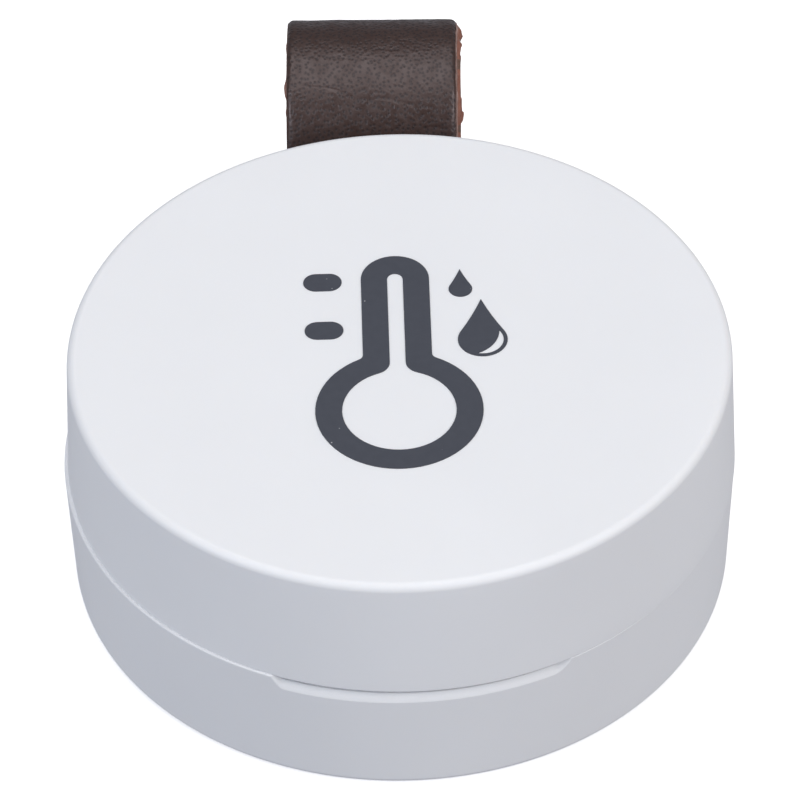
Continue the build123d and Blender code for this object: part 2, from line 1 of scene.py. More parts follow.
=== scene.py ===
# %% [markdown]
# # A small round room sensor with a leather loop
# The object measures the temperature and humidity of a room. It is a white two-part case, 37 mm across, with
# a printed thermometer on top and a loop of dark leather at the back. Its solid parts are already built to
# size, so this lesson loads them, models the pieces that show most a second time with finer edges, and gives
# each piece the finish of its real material.

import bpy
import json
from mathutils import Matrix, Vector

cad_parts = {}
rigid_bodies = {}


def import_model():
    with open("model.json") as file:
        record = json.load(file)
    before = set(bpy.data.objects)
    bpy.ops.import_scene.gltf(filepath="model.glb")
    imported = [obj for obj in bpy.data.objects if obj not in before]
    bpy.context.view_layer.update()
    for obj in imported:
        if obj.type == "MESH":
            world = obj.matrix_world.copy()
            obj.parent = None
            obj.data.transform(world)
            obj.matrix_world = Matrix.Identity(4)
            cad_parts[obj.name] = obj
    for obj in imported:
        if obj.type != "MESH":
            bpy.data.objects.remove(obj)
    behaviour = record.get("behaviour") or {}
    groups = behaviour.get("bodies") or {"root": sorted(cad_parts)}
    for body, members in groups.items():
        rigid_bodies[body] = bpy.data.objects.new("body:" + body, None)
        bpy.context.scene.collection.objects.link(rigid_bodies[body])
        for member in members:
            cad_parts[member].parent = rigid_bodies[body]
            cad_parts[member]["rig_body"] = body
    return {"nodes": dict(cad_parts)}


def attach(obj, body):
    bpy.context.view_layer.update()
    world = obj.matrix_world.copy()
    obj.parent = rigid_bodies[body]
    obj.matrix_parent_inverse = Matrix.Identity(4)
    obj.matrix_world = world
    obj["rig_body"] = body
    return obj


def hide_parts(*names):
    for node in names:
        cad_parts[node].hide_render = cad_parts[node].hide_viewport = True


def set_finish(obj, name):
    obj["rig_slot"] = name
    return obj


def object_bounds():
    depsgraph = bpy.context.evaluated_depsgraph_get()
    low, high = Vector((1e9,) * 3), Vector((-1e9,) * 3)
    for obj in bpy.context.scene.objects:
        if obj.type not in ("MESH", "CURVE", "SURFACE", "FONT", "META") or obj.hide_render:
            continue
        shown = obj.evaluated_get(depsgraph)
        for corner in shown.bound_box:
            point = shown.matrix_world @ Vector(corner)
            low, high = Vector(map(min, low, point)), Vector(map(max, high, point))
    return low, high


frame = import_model()
cad_low, cad_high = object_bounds()
box = [round(1000 * v, 2) for v in cad_high - cad_low]
print("solid parts:", len(frame["nodes"]), "in a box of", box, "mm")

# %% What the lesson works with
import json
from math import atan2, ceil, cos, degrees, hypot, pi, radians, sin, tan

import bmesh
import bpy
from mathutils import Euler, Matrix, Quaternion, Vector

print("Blender", bpy.app.version_string)

# %% [markdown]
# ## The camera
# The photograph was taken from 320 mm away with a long lens, from a little left of the middle and 44 degrees
# up, and the camera was tipped by one degree. The camera comes first, because all later choices are judged
# through it.

# %% The camera of the photograph
MM = 0.001
CAMERA_PLACE = Vector((-12.83, -229.49, 230.73)) * MM
CAMERA_TURN, CAMERA_HEIGHT, CAMERA_TIP = radians(-3.223), radians(43.685), radians(1.114)
SENSOR, LENS, NEAR, FAR = 36, 261, 0.01, 20

bpy.ops.object.camera_add(location=CAMERA_PLACE)
camera = bpy.context.object
camera.name = "photo_camera"
camera.rotation_mode = "QUATERNION"
level = Euler((pi / 2 - CAMERA_HEIGHT, 0, CAMERA_TURN)).to_quaternion()
camera.rotation_quaternion = level @ Quaternion((0, 0, 1), -CAMERA_TIP)
camera.data.sensor_width, camera.data.lens = SENSOR, LENS
camera.data.clip_start, camera.data.clip_end = NEAR, FAR
bpy.context.scene.camera = camera
print("camera", round(camera.location.length / MM), "mm from the foot of the case")

# %% [markdown]
# ## Working in edit mode
# Each piece is worked in millimetres, so that its sizes read as a maker would say them. An operator acts on
# all that is selected. So one helper leaves a single piece selected, and another picks vertices, edges or
# faces by where they lie.


# %% Selecting one piece, or parts of it
def leave():
    """Leaves edit mode, if it is on."""
    if bpy.context.object and bpy.context.object.mode != "OBJECT":
        bpy.ops.object.mode_set(mode="OBJECT")


def only(piece):
    """Leaves edit mode and selects this piece alone."""
    leave()
    bpy.ops.object.select_all(action="DESELECT")
    piece.select_set(True)
    bpy.context.view_layer.objects.active = piece


def settle():
    """Moves the selected piece's own place, turn and size into its mesh."""
    bpy.ops.object.transform_apply(location=True, rotation=True, scale=True)


def edit(piece):
    """Selects this piece alone and enters edit mode."""
    only(piece)
    bpy.ops.object.mode_set(mode="EDIT")


def pick(piece, kind, test):
    """In edit mode, selects what passes a test of its middle and its direction."""
    bpy.ops.mesh.select_mode(type=kind)
    bpy.ops.mesh.select_all(action="DESELECT")
    shape = bmesh.from_edit_mesh(piece.data)
    if kind == "VERT":
        parts = [(v, v.co, v.normal) for v in shape.verts]
    elif kind == "EDGE":
        ends = [(e, e.verts[0].co, e.verts[1].co) for e in shape.edges]
        parts = [(e, (a + b) / 2, (b - a).normalized()) for e, a, b in ends]
    else:
        parts = [(f, f.calc_center_median(), f.normal) for f in shape.faces]
    for part, middle, direction in parts:
        if test(middle, direction):
            part.select_set(True)
    shape.select_flush_mode()
    bmesh.update_edit_mesh(piece.data)
    return sum(part.select for part, _, _ in parts)


def softly(falloff, reach):
    """Settings that let a transform take along what lies within reach."""
    return {"use_proportional_edit": True, "proportional_edit_falloff": falloff, "proportional_size": reach}


print("helpers: leave, only, settle, edit, pick, softly")

# %% [markdown]
# ## Turned shapes
# Nearly all of this object is round. A lathe shape starts as one vertex, which is pushed from corner to
# corner of half a cross-section. Its corners are rounded while it is still a line, where that is clean and
# exact, and then the line is spun about the upright axis.


# %% A line spun about the axis
# Points nearer than CLOSE are the same place, and points nearer than JOIN are merged, in millimetres.
CLOSE, JOIN = 0.001, 0.0005


def draw_line(name, corners, closed=False):
    """One vertex pushed along rows of (radius, height, rounding) in the XZ plane."""
    leave()
    bpy.ops.mesh.primitive_plane_add(size=1)
    piece = bpy.context.object
    piece.name = name
    bpy.ops.object.mode_set(mode="EDIT")
    bpy.ops.mesh.select_mode(type="VERT")
    bpy.ops.mesh.merge(type="CENTER")
    bpy.ops.transform.translate(value=(corners[0][0], 0, corners[0][1]))
    for here, there in zip(corners, corners[1:]):
        step = (there[0] - here[0], 0, there[1] - here[1])
        bpy.ops.mesh.extrude_vertices_move(TRANSFORM_OT_translate={"value": step})
    if closed:
        ends = [Vector((c[0], 0, c[1])) for c in (corners[0], corners[-1])]
        pick(piece, "VERT", lambda middle, _: min((middle - end).length for end in ends) < CLOSE)
        bpy.ops.mesh.edge_face_add()
    for radius, height, rounding in corners:
        if rounding:
            corner = Vector((radius, 0, height))
            pick(piece, "VERT", lambda middle, _: (middle - corner).length < CLOSE)
            bpy.ops.mesh.bevel(offset=rounding, segments=3 + round(9 * rounding), affect="VERTICES")
    return piece


def spin(steps, angle):
    """Spins the mesh in edit mode about the upright axis and closes it."""
    bpy.ops.mesh.select_all(action="SELECT")
    bpy.ops.mesh.spin(steps=steps, angle=angle, center=(0, 0, 0), axis=(0, 0, 1))
    bpy.ops.mesh.select_all(action="SELECT")
    bpy.ops.mesh.remove_doubles(threshold=JOIN)
    bpy.ops.mesh.normals_make_consistent(inside=False)


def drum(radius, low, high, foot=0, top=0):
    """The line of a plain drum, with its lower and upper edge rounded."""
    return [(0, low, 0), (radius, low, foot), (radius, high, top), (0, high, 0)]


def lathe(name, corners, closed=False, steps=240, place=(0, 0)):
    """Spins a line all the way round into a closed solid."""
    piece = draw_line(name, corners, closed)
    spin(steps, 2 * pi)
    bpy.ops.transform.translate(value=(place[0], place[1], 0))
    leave()
    return piece


print("helpers: draw_line, spin, drum, lathe")

# %% [markdown]
# ## Cutting and joining
# Slots, sockets and posts are made as separate shapes and then cut out of the turned body or joined to it
# with the Boolean modifier, which is applied at once. The shape that cuts is always a little longer than the
# wall.


# %% Blocks, cuts and joins
def block(x, y, z, rounding=0, along=None):
    """Box between low and high values, with the edges along one direction rounded."""
    sizes = [high - low for low, high in (x, y, z)]
    middle = [(low + high) / 2 for low, high in (x, y, z)]
    bpy.ops.mesh.primitive_cube_add(size=1, location=middle)
    piece = bpy.context.object
    piece.scale = sizes
    settle()
    if rounding:
        edit(piece)
        pick(piece, "EDGE", lambda _, direction: abs(direction[along]) > 0.99)
        bpy.ops.mesh.bevel(offset=rounding, segments=8, affect="EDGES")
        leave()
    return piece


def modify(piece, kind, **settings):
    """Gives a piece one modifier and applies it at once."""
    step = piece.modifiers.new(kind, kind)
    for name, value in settings.items():
        setattr(step, name, value)
    only(piece)
    bpy.ops.object.modifier_apply(modifier=step.name)


def combine(piece, operation, *others):
    """Cuts shapes from a piece (DIFFERENCE), joins them to it (UNION) or keeps the overlap (INTERSECT)."""
    for other in others:
        modify(piece, "BOOLEAN", operation=operation, object=other, solver="EXACT")
        bpy.data.objects.remove(other)


def turn(piece, angle):
    """Turns a piece about the upright axis, in degrees from above, against the clock."""
    only(piece)
    piece.rotation_euler.z = radians(angle)
    settle()
    return piece


def around(radius, angle):
    """The place on a circle about the axis, at an angle in degrees from +X."""
    return radius * cos(radians(angle)), radius * sin(radians(angle))


def angle_of(point):
    """The angle of a point about the axis, in degrees from +X."""
    return degrees(atan2(point.y, point.x))


def stud(corners, radius, angle):
    """A small turned shape on a circle about the axis."""
    return lathe("stud", corners, steps=40, place=around(radius, angle))


print("helpers: block, modify, combine, turn, around, angle_of, stud")

# %% [markdown]
# ## Closing a piece
# At the end a piece is brought from millimetres to metres, with its place kept in its mesh. It is shaded
# smooth except across real edges, and weighted normals let the large flat faces stay perfectly flat next to
# their rounded rims. Then it gets its body, which it moves with, and its slot, and the solid parts that it
# stands for are hidden.


# %% Finishing a piece
def finish_piece(piece, body, slot, nodes, sharp=30):
    """Brings a piece to metres, shades it, gives it its body and its slot, and hides the solids it replaces.
    """
    only(piece)
    piece.scale = (MM, MM, MM)
    settle()
    bpy.ops.object.shade_smooth_by_angle(angle=radians(sharp))
    modify(piece, "WEIGHTED_NORMAL", keep_sharp=True)
    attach(piece, body)
    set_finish(piece, slot)
    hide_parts(*nodes)
    size = [round(v / MM, 2) for v in piece.dimensions]
    print(f"{piece.name}: {size} mm, {len(piece.data.polygons)} faces, moves with {body}")
    return piece


def bevel_sharp(piece, offset, test, segments=3, least=50):
    """Rounds the sharp edges whose middle passes the test."""
    edit(piece)
    bpy.ops.mesh.select_mode(type="EDGE")
    bpy.ops.mesh.select_all(action="DESELECT")
    shape = bmesh.from_edit_mesh(piece.data)
    count = 0
    for edge in shape.edges:
        middle = (edge.verts[0].co + edge.verts[1].co) / 2
        if len(edge.link_faces) == 2 and edge.calc_face_angle() > radians(least) and test(middle):
            edge.select_set(True)
            count += 1
    bmesh.update_edit_mesh(piece.data)
    bpy.ops.mesh.bevel(offset=offset, segments=segments, affect="EDGES", clamp_overlap=True)
    leave()
    return count


print("helpers: finish_piece, bevel_sharp")

# %% [markdown]
# ## The base shell
# The lower half of the case is one moulding: a floor, a wall that widens a little towards the seam, and a
# soft foot. It is turned first. The pry notch in front is a low band cut from the rim. Its lip slopes
# outwards and rolls over into the wall, which leads a fingernail in and catches the light. Both its ends rise
# to the seam.

# %% The turned body of the base
CASE_RADIUS, FOOT_RADIUS, RIM_INSIDE = 18.5, 18.22, 17.2
SEAM, FLOOR_TOP = 7.43, 1.2
base = lathe("base_moulding", [
    (0, 0, 0), (FOOT_RADIUS, 0, 0.45), (CASE_RADIUS, SEAM, 0.1), (RIM_INSIDE, SEAM, 0.1),
    (RIM_INSIDE, FLOOR_TOP, 0.4), (0, FLOOR_TOP, 0),
])
print(len(base.data.polygons), "faces after the lathe")

# %% The pry notch
LEFT_END, RIGHT_END = -115.8, -64.0
LIP_INSIDE, LIP_OUTSIDE, END_RISE = 7.04, 6.45, 0.95
CUT_INSIDE, CUT_OUTSIDE, CUT_OVER = 16, 20, 9.2
notch = draw_line("notch", [
    (CUT_INSIDE, LIP_INSIDE, 0), (18.16, LIP_INSIDE, 0), (18.42, 6.83, 0.3), (CASE_RADIUS, LIP_OUTSIDE, 0),
    (CUT_OUTSIDE, LIP_OUTSIDE, 0), (CUT_OUTSIDE, CUT_OVER, 0), (CUT_INSIDE, CUT_OVER, 0),
], closed=True)
bpy.ops.mesh.select_all(action="SELECT")
bpy.ops.mesh.edge_face_add()
spin(200, radians(RIGHT_END - LEFT_END))
only(notch)
turn(notch, LEFT_END - min(angle_of(v.co) for v in notch.data.vertices))
for end, reach in ((LEFT_END, 0.8), (RIGHT_END, 1.1)):
    # The end of the cut rises out of the rim, and takes about the next millimetre with it.
    edit(notch)
    count = pick(notch, "VERT", lambda middle, _: abs(angle_of(middle) - end) < 0.1 and middle.z < SEAM)
    bpy.ops.transform.translate(value=(0, 0, END_RISE), **softly("SHARP", reach))
    leave()
    print(count, "points raised at", end, "degrees")
combine(base, "DIFFERENCE", notch)

# %% Posts, bosses and the cheeks of the cross pin
PEG_ANGLES, PEG_CIRCLE = (50, 130, 220, 320), 15.3
SCREW_ANGLES, SCREW_CIRCLE = (20, 160), 14.9
# Shapes that join the floor start inside it, and the board rests on their shoulders.
ROOT, SHOULDER, POST_TOP = 0.6, 2.6, 5.8
POST_FOOT, POST_NECK = 2.1, 1.2
SLOT_HALF, CHEEK, CHEEK_Y, INSIDE = 5.4, 1.9, (13.0, 17.85), 17.8
post = [
    (0, ROOT, 0), (POST_FOOT, ROOT, 0), (POST_FOOT, SHOULDER, 0.15), (POST_NECK, SHOULDER, 0),
    (POST_NECK, POST_TOP, 0.15), (0, POST_TOP, 0),
]
boss = drum(radius=1.7, low=ROOT, high=SHOULDER, top=0.1)
for angle in PEG_ANGLES:
    combine(base, "UNION", stud(post, PEG_CIRCLE, angle))
for angle in SCREW_ANGLES:
    combine(base, "UNION", stud(boss, SCREW_CIRCLE, angle))
for side in (-1, 1):
    across = sorted((side * SLOT_HALF, side * (SLOT_HALF + CHEEK)))
    cheek = block(across, CHEEK_Y, (ROOT, SEAM - 0.15))
    combine(cheek, "INTERSECT", lathe("inside", drum(INSIDE, 0, 9)))
    combine(base, "UNION", cheek)
print(len(base.data.polygons), "faces with posts")

# %% Sockets, pin groove and slot
# The pin lies at (y, z), and the slot for the strap runs outwards from it.
PIN, GROOVE_RADIUS, GROOVE_HALF, SWING_RADIUS = (14.9, 6.5), 0.62, 7.05, 2.07
SLOT_OUT, SLOT_FOOT, SLOT_TOP = 25.1, 5.23, 9.5


def rod(radius, half_length, place):
    """Round bar along X."""
    bpy.ops.mesh.primitive_cylinder_add(
        vertices=48, radius=radius, depth=2 * half_length, location=(0, *place), rotation=(0, pi / 2, 0)
    )
    settle()
    return bpy.context.object


def strap_slot():
    """What is cut from both mouldings to let the strap out."""
    sides = (-SLOT_HALF, SLOT_HALF), (PIN[0], SLOT_OUT), (SLOT_FOOT, SLOT_TOP)
    return block(*sides, rounding=0.5, along=1)


socket, hole = drum(radius=0.72, low=3.6, high=7), drum(radius=0.82, low=1.25, high=7)
for angle in PEG_ANGLES:
    combine(base, "DIFFERENCE", stud(socket, PEG_CIRCLE, angle))
for angle in SCREW_ANGLES:
    combine(base, "DIFFERENCE", stud(hole, SCREW_CIRCLE, angle))
groove = rod(GROOVE_RADIUS, GROOVE_HALF, PIN)
open_top = block((-GROOVE_HALF, GROOVE_HALF), (PIN[0] - GROOVE_RADIUS, PIN[0] + GROOVE_RADIUS), (PIN[1], 9))
combine(groove, "UNION", open_top)
combine(base, "DIFFERENCE", groove, rod(SWING_RADIUS, SLOT_HALF, PIN))
combine(base, "DIFFERENCE", strap_slot())
print(len(base.data.polygons), "faces with sockets")


# %% Softened edges of the slot
def near_outside(middle):
    """Whether an edge of the slot lies at the base's outer wall."""
    return hypot(middle.x, middle.y) > 18.2 and 1 < middle.z < 7.4 and middle.y > 10


print(bevel_sharp(base, 0.14, near_outside, segments=5, least=35), "edges softened")
finish_piece(base, "base", "white_abs", ["base_shell"])

# %% [markdown]
# ## The top cover
# The upper half has the flat roof with its softly rounded rim. Below the seam it reaches into the base with
# a thin tongue. Its wall ends 0.1 mm inside the base's wall, and its skin stands a hair to the right and
# front, as two mouldings from two tools never match quite. So the base's rim shows as a bright line on the
# left only.

# %% The turned body of the cover
ROOF_TOP, ROOF_UNDER, BAND_FOOT, TONGUE_FOOT = 15, 13.7, 9.73, 5.93
ROOF_INSIDE, TONGUE_INSIDE, TONGUE_OUTSIDE, COVER_FOOT, COVER_TOP = 16.79, 16.3, 17.15, 18.4, 18.09
cover = lathe("cover_moulding", [
    (0, ROOF_UNDER, 0), (ROOF_INSIDE, ROOF_UNDER, 0.3), (ROOF_INSIDE, BAND_FOOT, 0),
    (TONGUE_INSIDE, BAND_FOOT, 0), (TONGUE_INSIDE, TONGUE_FOOT, 0.1), (TONGUE_OUTSIDE, TONGUE_FOOT, 0.2),
    (TONGUE_OUTSIDE, SEAM, 0), (COVER_FOOT, SEAM, 0.03), (COVER_TOP, ROOF_TOP, 0.45), (0, ROOF_TOP, 0),
])
print(len(cover.data.polygons), "faces after the lathe")

# %% Tongue gaps, bosses, pegs and fingers
GAP_HALF, GAP_OUT, UNDER_TONGUE = 7.6, 18.3, 5
VENTS, VENT_PITCH, VENT_HALF, VENT_TOP, VENT_REACH = 5, 8, 0.8, 7.31, (15, 18)
# Shapes that hang from the roof end inside it.
IN_ROOF = 14.35
FINGER_X, FINGER_Y, FINGER_FOOT = (5.6, 6.8), (14.31, 15.49), 7.15
WEB_FOOT, WEB_OUT, WEB_INSIDE = 7.55, 18.5, 17.4
MARKS, MARK_CIRCLE = 6, 11
combine(cover, "DIFFERENCE", block((-GAP_HALF, GAP_HALF), (0, GAP_OUT), (UNDER_TONGUE, SEAM)))
for step in range(VENTS):
    vent = block(VENT_REACH, (-VENT_HALF, VENT_HALF), (UNDER_TONGUE, VENT_TOP))
    combine(cover, "DIFFERENCE", turn(vent, -90 + VENT_PITCH * (step - VENTS // 2)))
boss = drum(radius=1.2, low=8.4, high=IN_ROOF, foot=0.15)
peg = drum(radius=0.7, low=4.0, high=8.6, foot=0.25)
for angle in PEG_ANGLES:
    combine(cover, "UNION", stud(boss, PEG_CIRCLE, angle), stud(peg, PEG_CIRCLE, angle))
for side in (-1, 1):
    # A finger on each side keeps the pin down in its groove.
    across = sorted(side * edge for edge in FINGER_X)
    web = block(across, (PIN[0], WEB_OUT), (WEB_FOOT, IN_ROOF))
    combine(web, "INTERSECT", lathe("inside", drum(WEB_INSIDE, 0, ROOF_TOP)))
    finger = block(across, FINGER_Y, (FINGER_FOOT, IN_ROOF), rounding=0.15, along=2)
    combine(cover, "UNION", finger, web)
# The pins that push the moulding out of its tool leave shallow round marks inside the roof.
mark = drum(radius=1.0, low=13.64, high=14.2, foot=0.03)
for step in range(MARKS):
    combine(cover, "UNION", stud(mark, MARK_CIRCLE, 360 / MARKS * step))
combine(cover, "DIFFERENCE", strap_slot())


def at_slot(middle):
    """Whether an edge of the slot lies at the cover's outer wall."""
    return hypot(middle.x, middle.y) > 17.9 and middle.y > 10 and SEAM + 0.1 < middle.z < 9.7


def in_skin(middle, _):
    """Whether a point belongs to the cover's outer wall or to the rim of its roof."""
    return hypot(middle.x, middle.y) > 17.3 and middle.z > SEAM - 0.01


SKIN_SHIFT = (0.11, -0.04, 0)
print(bevel_sharp(cover, 0.1, at_slot), "edges softened")
edit(cover)
print(pick(cover, "VERT", in_skin), "in the skin")
bpy.ops.transform.translate(value=SKIN_SHIFT)
leave()
finish_piece(cover, "cover", "white_abs", ["top_cover"])

# %% [markdown]
# ## The leather strap
# A strap is cut flat from a hide and then folded, and it is made the same way here. A flat strip gets its
# thickness, its slanted cut and its uneven edge. Each point then remembers its place on the flat hide, so
# that the grain follows the fold. Last, a Curve modifier bends the strip along the loop.

# %% The line of the fold
# Seen from the side: half way round the pin, a short neck, the loop, and the same way back.


def arc(centre, radius, start, end):
    """Points and handles of a curve that follows an arc between two angles in degrees."""
    parts = ceil(abs(end - start) / 30)
    sweep = radians(end - start) / parts
    reach = 4 / 3 * tan(sweep / 4) * radius
    knots = []
    for i in range(parts + 1):
        angle = radians(start) + i * sweep
        point = Vector((centre[0] + radius * cos(angle), centre[1] + radius * sin(angle), 0))
        ahead = Vector((-sin(angle), cos(angle), 0)) * reach
        knots.append((point - ahead, point, point + ahead))
    return knots


# Places of the arcs' centres, from the pin along the line to the loop's middle and across it.
LOOP = (25.3, 10.3)
PIN_TO_LOOP = (LOOP[0] - PIN[0], LOOP[1] - PIN[1])
LOOP_AT, LEG_AT, FILLET_AT = hypot(*PIN_TO_LOOP), (4.206, 3.7), (1.764, 2.2)
WRAP_RADIUS, FILLET_RADIUS, LEG_RADIUS, LOOP_RADIUS, WRAP_START = 1.22, 1.6, 3.1, 4.7, 175.3
wrap_end = degrees(atan2(FILLET_AT[1], FILLET_AT[0]))
leg_end = degrees(atan2(-LEG_AT[1], LOOP_AT - LEG_AT[0]))
half = [
    arc((0, 0), WRAP_RADIUS, WRAP_START, wrap_end),
    arc(FILLET_AT, FILLET_RADIUS, wrap_end - 180, -90),
    arc(LEG_AT, LEG_RADIUS, -90, leg_end),
    arc((LOOP_AT, 0), LOOP_RADIUS, leg_end + 180, 0),
]
knots = []
for run in half:
    if knots and (knots[-1][1] - run[0][1]).length < CLOSE:
        knots[-1] = (knots[-1][0], knots[-1][1], run[0][2])
        run = run[1:]
    elif knots:
        third = (run[0][1] - knots[-1][1]) / 3
        knots[-1] = (knots[-1][0], knots[-1][1], knots[-1][1] + third)
        run = [(run[0][1] - third, run[0][1], run[0][2])] + run[1:]
    knots += run
knots += [tuple(Vector((p.x, -p.y, 0)) for p in reversed(knot)) for knot in reversed(knots[:-1])]
fold = bpy.data.curves.new("fold", "CURVE")
fold.dimensions, fold.resolution_u = "2D", 24
spline = fold.splines.new("BEZIER")
spline.bezier_points.add(len(knots) - 1)
for point, (before, middle, after) in zip(spline.bezier_points, knots):
    point.handle_left_type = point.handle_right_type = "FREE"
    point.handle_left, point.co, point.handle_right = before, middle, after
fold_line = bpy.data.objects.new("fold", fold)
bpy.context.scene.collection.objects.link(fold_line)
STRAP_LENGTH = spline.calc_length()
print("fold line of", round(STRAP_LENGTH, 2), "mm")

# %% The flat strip
# The grain side is narrower than the flesh side, because the knife leaned.
STRAP_THICK, FLESH_WIDE, GRAIN_WIDE, GRAIN_OFF = 1.18, 10, 9.7, 0.12
ROWS_ALONG, CUTS_ACROSS, CUTS_DEEP = 360, 69, 7
WORN, NEAR_EDGE = 0.32, 0.01
bpy.ops.mesh.primitive_grid_add(x_subdivisions=ROWS_ALONG, y_subdivisions=1, size=1)
strap = bpy.context.object
strap.name = "folded_strap"
strap.scale = (STRAP_LENGTH, GRAIN_WIDE, 1)
strap.location = (STRAP_LENGTH / 2, GRAIN_OFF, STRAP_THICK / 2)
settle()
edit(strap)
bpy.ops.mesh.select_all(action="SELECT")
bpy.ops.mesh.extrude_region_move(TRANSFORM_OT_translate={"value": (0, 0, -STRAP_THICK)})
bpy.ops.transform.resize(value=(1, FLESH_WIDE / GRAIN_WIDE, 1), center_override=(0, GRAIN_OFF, 0))
bpy.ops.transform.translate(value=(0, -GRAIN_OFF, 0))
bpy.ops.mesh.select_all(action="SELECT")
bpy.ops.mesh.normals_make_consistent(inside=False)
print(pick(strap, "EDGE", lambda _, direction: abs(direction.z) > 0.9), "edges round the rim")
bpy.ops.mesh.subdivide(number_cuts=CUTS_DEEP)


def grain_side_edge(middle, direction):
    """Whether an edge is one of the two long ones of the grain side."""
    on_grain = middle.z > STRAP_THICK / 2 - NEAR_EDGE
    at_side = abs(middle.y - GRAIN_OFF) > GRAIN_WIDE / 2 - NEAR_EDGE
    return abs(direction.x) > 0.9 and on_grain and at_side


def across_strip(middle, direction):
    """Whether an edge runs from one side of the strip to the other."""
    return abs(direction.y) > 0.9 and abs(middle.y) < 1


print(pick(strap, "EDGE", grain_side_edge), "edges to wear round")
bpy.ops.mesh.bevel(offset=WORN, segments=6, affect="EDGES", clamp_overlap=False)
print(pick(strap, "EDGE", across_strip), "edges across")
bpy.ops.mesh.subdivide(number_cuts=CUTS_ACROSS)
leave()

# %% The uneven edge, and the gentle unevenness of the hide
# The cut grows rougher towards the flesh, and one side was cut with a sharper stretch of the blade.
CUT_FROM, CUT_TOP, CUT_FOOT, CUT_FADE, SHARP_SHARE = 4.7, 0.35, -0.58, 0.6, 0.45
# Name: (size of its lumps, height, points that it moves).
UNEVEN = {"hide_relief": (1.3, 0.05, ""), "cut_lumps": (1.5, 0.95, "rim"), "cut_fibres": (0.3, 0.12, "rim")}
rim = strap.vertex_groups.new(name="rim")
for point in strap.data.vertices:
    if abs(point.co.y) > CUT_FROM and CUT_FOOT < point.co.z < CUT_TOP:
        rough = min(1, (CUT_TOP - point.co.z) / CUT_FADE)
        rim.add([point.index], rough * (1 if point.co.y < 0 else SHARP_SHARE), "REPLACE")
for name, (size, depth, group) in UNEVEN.items():
    clouds = bpy.data.textures.new(name, "CLOUDS")
    clouds.noise_scale, clouds.noise_depth = size, 2
    modify(strap, "DISPLACE", texture=clouds, strength=depth, mid_level=0.5, vertex_group=group)
hide_place = strap.data.attributes.new("hide_place", "FLOAT_VECTOR", "POINT")
hide_place.data.foreach_set("vector", [c for v in strap.data.vertices for c in v.co])
print("strip of", len(strap.data.vertices), "points")

# %% Folding the strip and hanging it on its pin
only(strap)
strap.rotation_euler.x = -pi / 2
settle()
modify(strap, "CURVE", object=fold_line, deform_axis="POS_X")
bpy.data.objects.remove(fold_line)
LEAN = atan2(PIN_TO_LOOP[1], PIN_TO_LOOP[0])
along, up = Vector((0, cos(LEAN), sin(LEAN))), Vector((0, -sin(LEAN), cos(LEAN)))
frame_of_strap = Matrix((along, up, (1, 0, 0))).transposed().to_4x4()
strap.matrix_world = Matrix.Translation((0, *PIN)) @ frame_of_strap
settle()
print("strap folded, rising outwards at", round(degrees(LEAN), 1), "degrees")

# %% The loop hangs a little askew
# Leather takes a set: the loop has turned 4 degrees against the case, and its neck follows softly.
NECK, ASKEW, ASIDE, SOFT_REACH = 21.5, 4.2, 0.1, 4.5
edit(strap)
print(pick(strap, "VERT", lambda middle, _: middle.y > NECK), "points of the loop")
soft = softly("SMOOTH", SOFT_REACH)
bpy.ops.transform.rotate(value=radians(ASKEW), orient_axis="Z", center_override=(0, NECK, LOOP[1]), **soft)
bpy.ops.transform.translate(value=(ASIDE, 0, 0), **soft)
leave()
for place, points in (
    ("top of the loop", [v.co.x for v in strap.data.vertices if v.co.z > 15]),
    ("pin end", [v.co.x for v in strap.data.vertices if v.co.y < 15]),
):
    print(place, round(sum(points) / len(points), 2), "mm off the middle")
finish_piece(strap, "strap", "leather", ["leather_strap"], sharp=50)

# %% [markdown]
# ## Pieces inside the case
# The coin cell is deep-drawn steel, so it is turned: a can, a cap and the seal between them. The foam pad
# that holds it down is stamped from a sheet, with edges that bulge a little. All of these lie 1.5 mm in front
# of the case's middle, which leaves room for the strap's pin.

# %% The coin cell and its pad
CELL = {"steps": 160, "place": (0, -1.5)}
CAN_RADIUS, CAN_TOP, CAN_FOOT, CAP_RADIUS, CAP_FOOT, CRIMP = 12.25, 11.9, 4.6, 10.2, 4.2, 5.5
SEAL_RADIUS, MARK_DEEP, PAD_RADIUS, PAD_FOOT = 10.8, 11.84, 7.0, 12.0
can = lathe("cell_can_drawn", [
    (0, CRIMP, 0), (SEAL_RADIUS, CRIMP, 0), (SEAL_RADIUS, CAN_FOOT, 0.15), (CAN_RADIUS, CAN_FOOT, 0.4),
    (CAN_RADIUS, CAN_TOP, 0.5), (11.3, CAN_TOP, 0.05), (11.2, MARK_DEEP, 0.05), (10.9, MARK_DEEP, 0.05),
    (10.8, CAN_TOP, 0.05), (0, CAN_TOP, 0),
], **CELL)
arms = block((-2, 2), (-1.85, -1.15), (MARK_DEEP, 12.5), rounding=0.12, along=2)
combine(arms, "UNION", block((-0.35, 0.35), (-3.5, 0.5), (MARK_DEEP, 12.5), rounding=0.12, along=2))
combine(can, "DIFFERENCE", arms)
finish_piece(can, "cell", "cell_steel", ["cell_can"])
cap = lathe("cell_cap_drawn", [
    (0, 4.26, 0), (8.6, 4.26, 0.3), (8.9, CAP_FOOT, 0.3), (CAP_RADIUS, CAP_FOOT, 0.25),
    (CAP_RADIUS, CRIMP, 0), (0, CRIMP, 0),
], **CELL)
finish_piece(cap, "cell", "cell_steel", ["cell_cap"])
seal = lathe("cell_seal_ring", [
    (CAP_RADIUS, CAN_FOOT, 0.1), (SEAL_RADIUS, CAN_FOOT, 0.1), (SEAL_RADIUS, CRIMP, 0),
    (CAP_RADIUS, CRIMP, 0),
], closed=True, **CELL)
finish_piece(seal, "cell", "gasket", ["cell_gasket"])
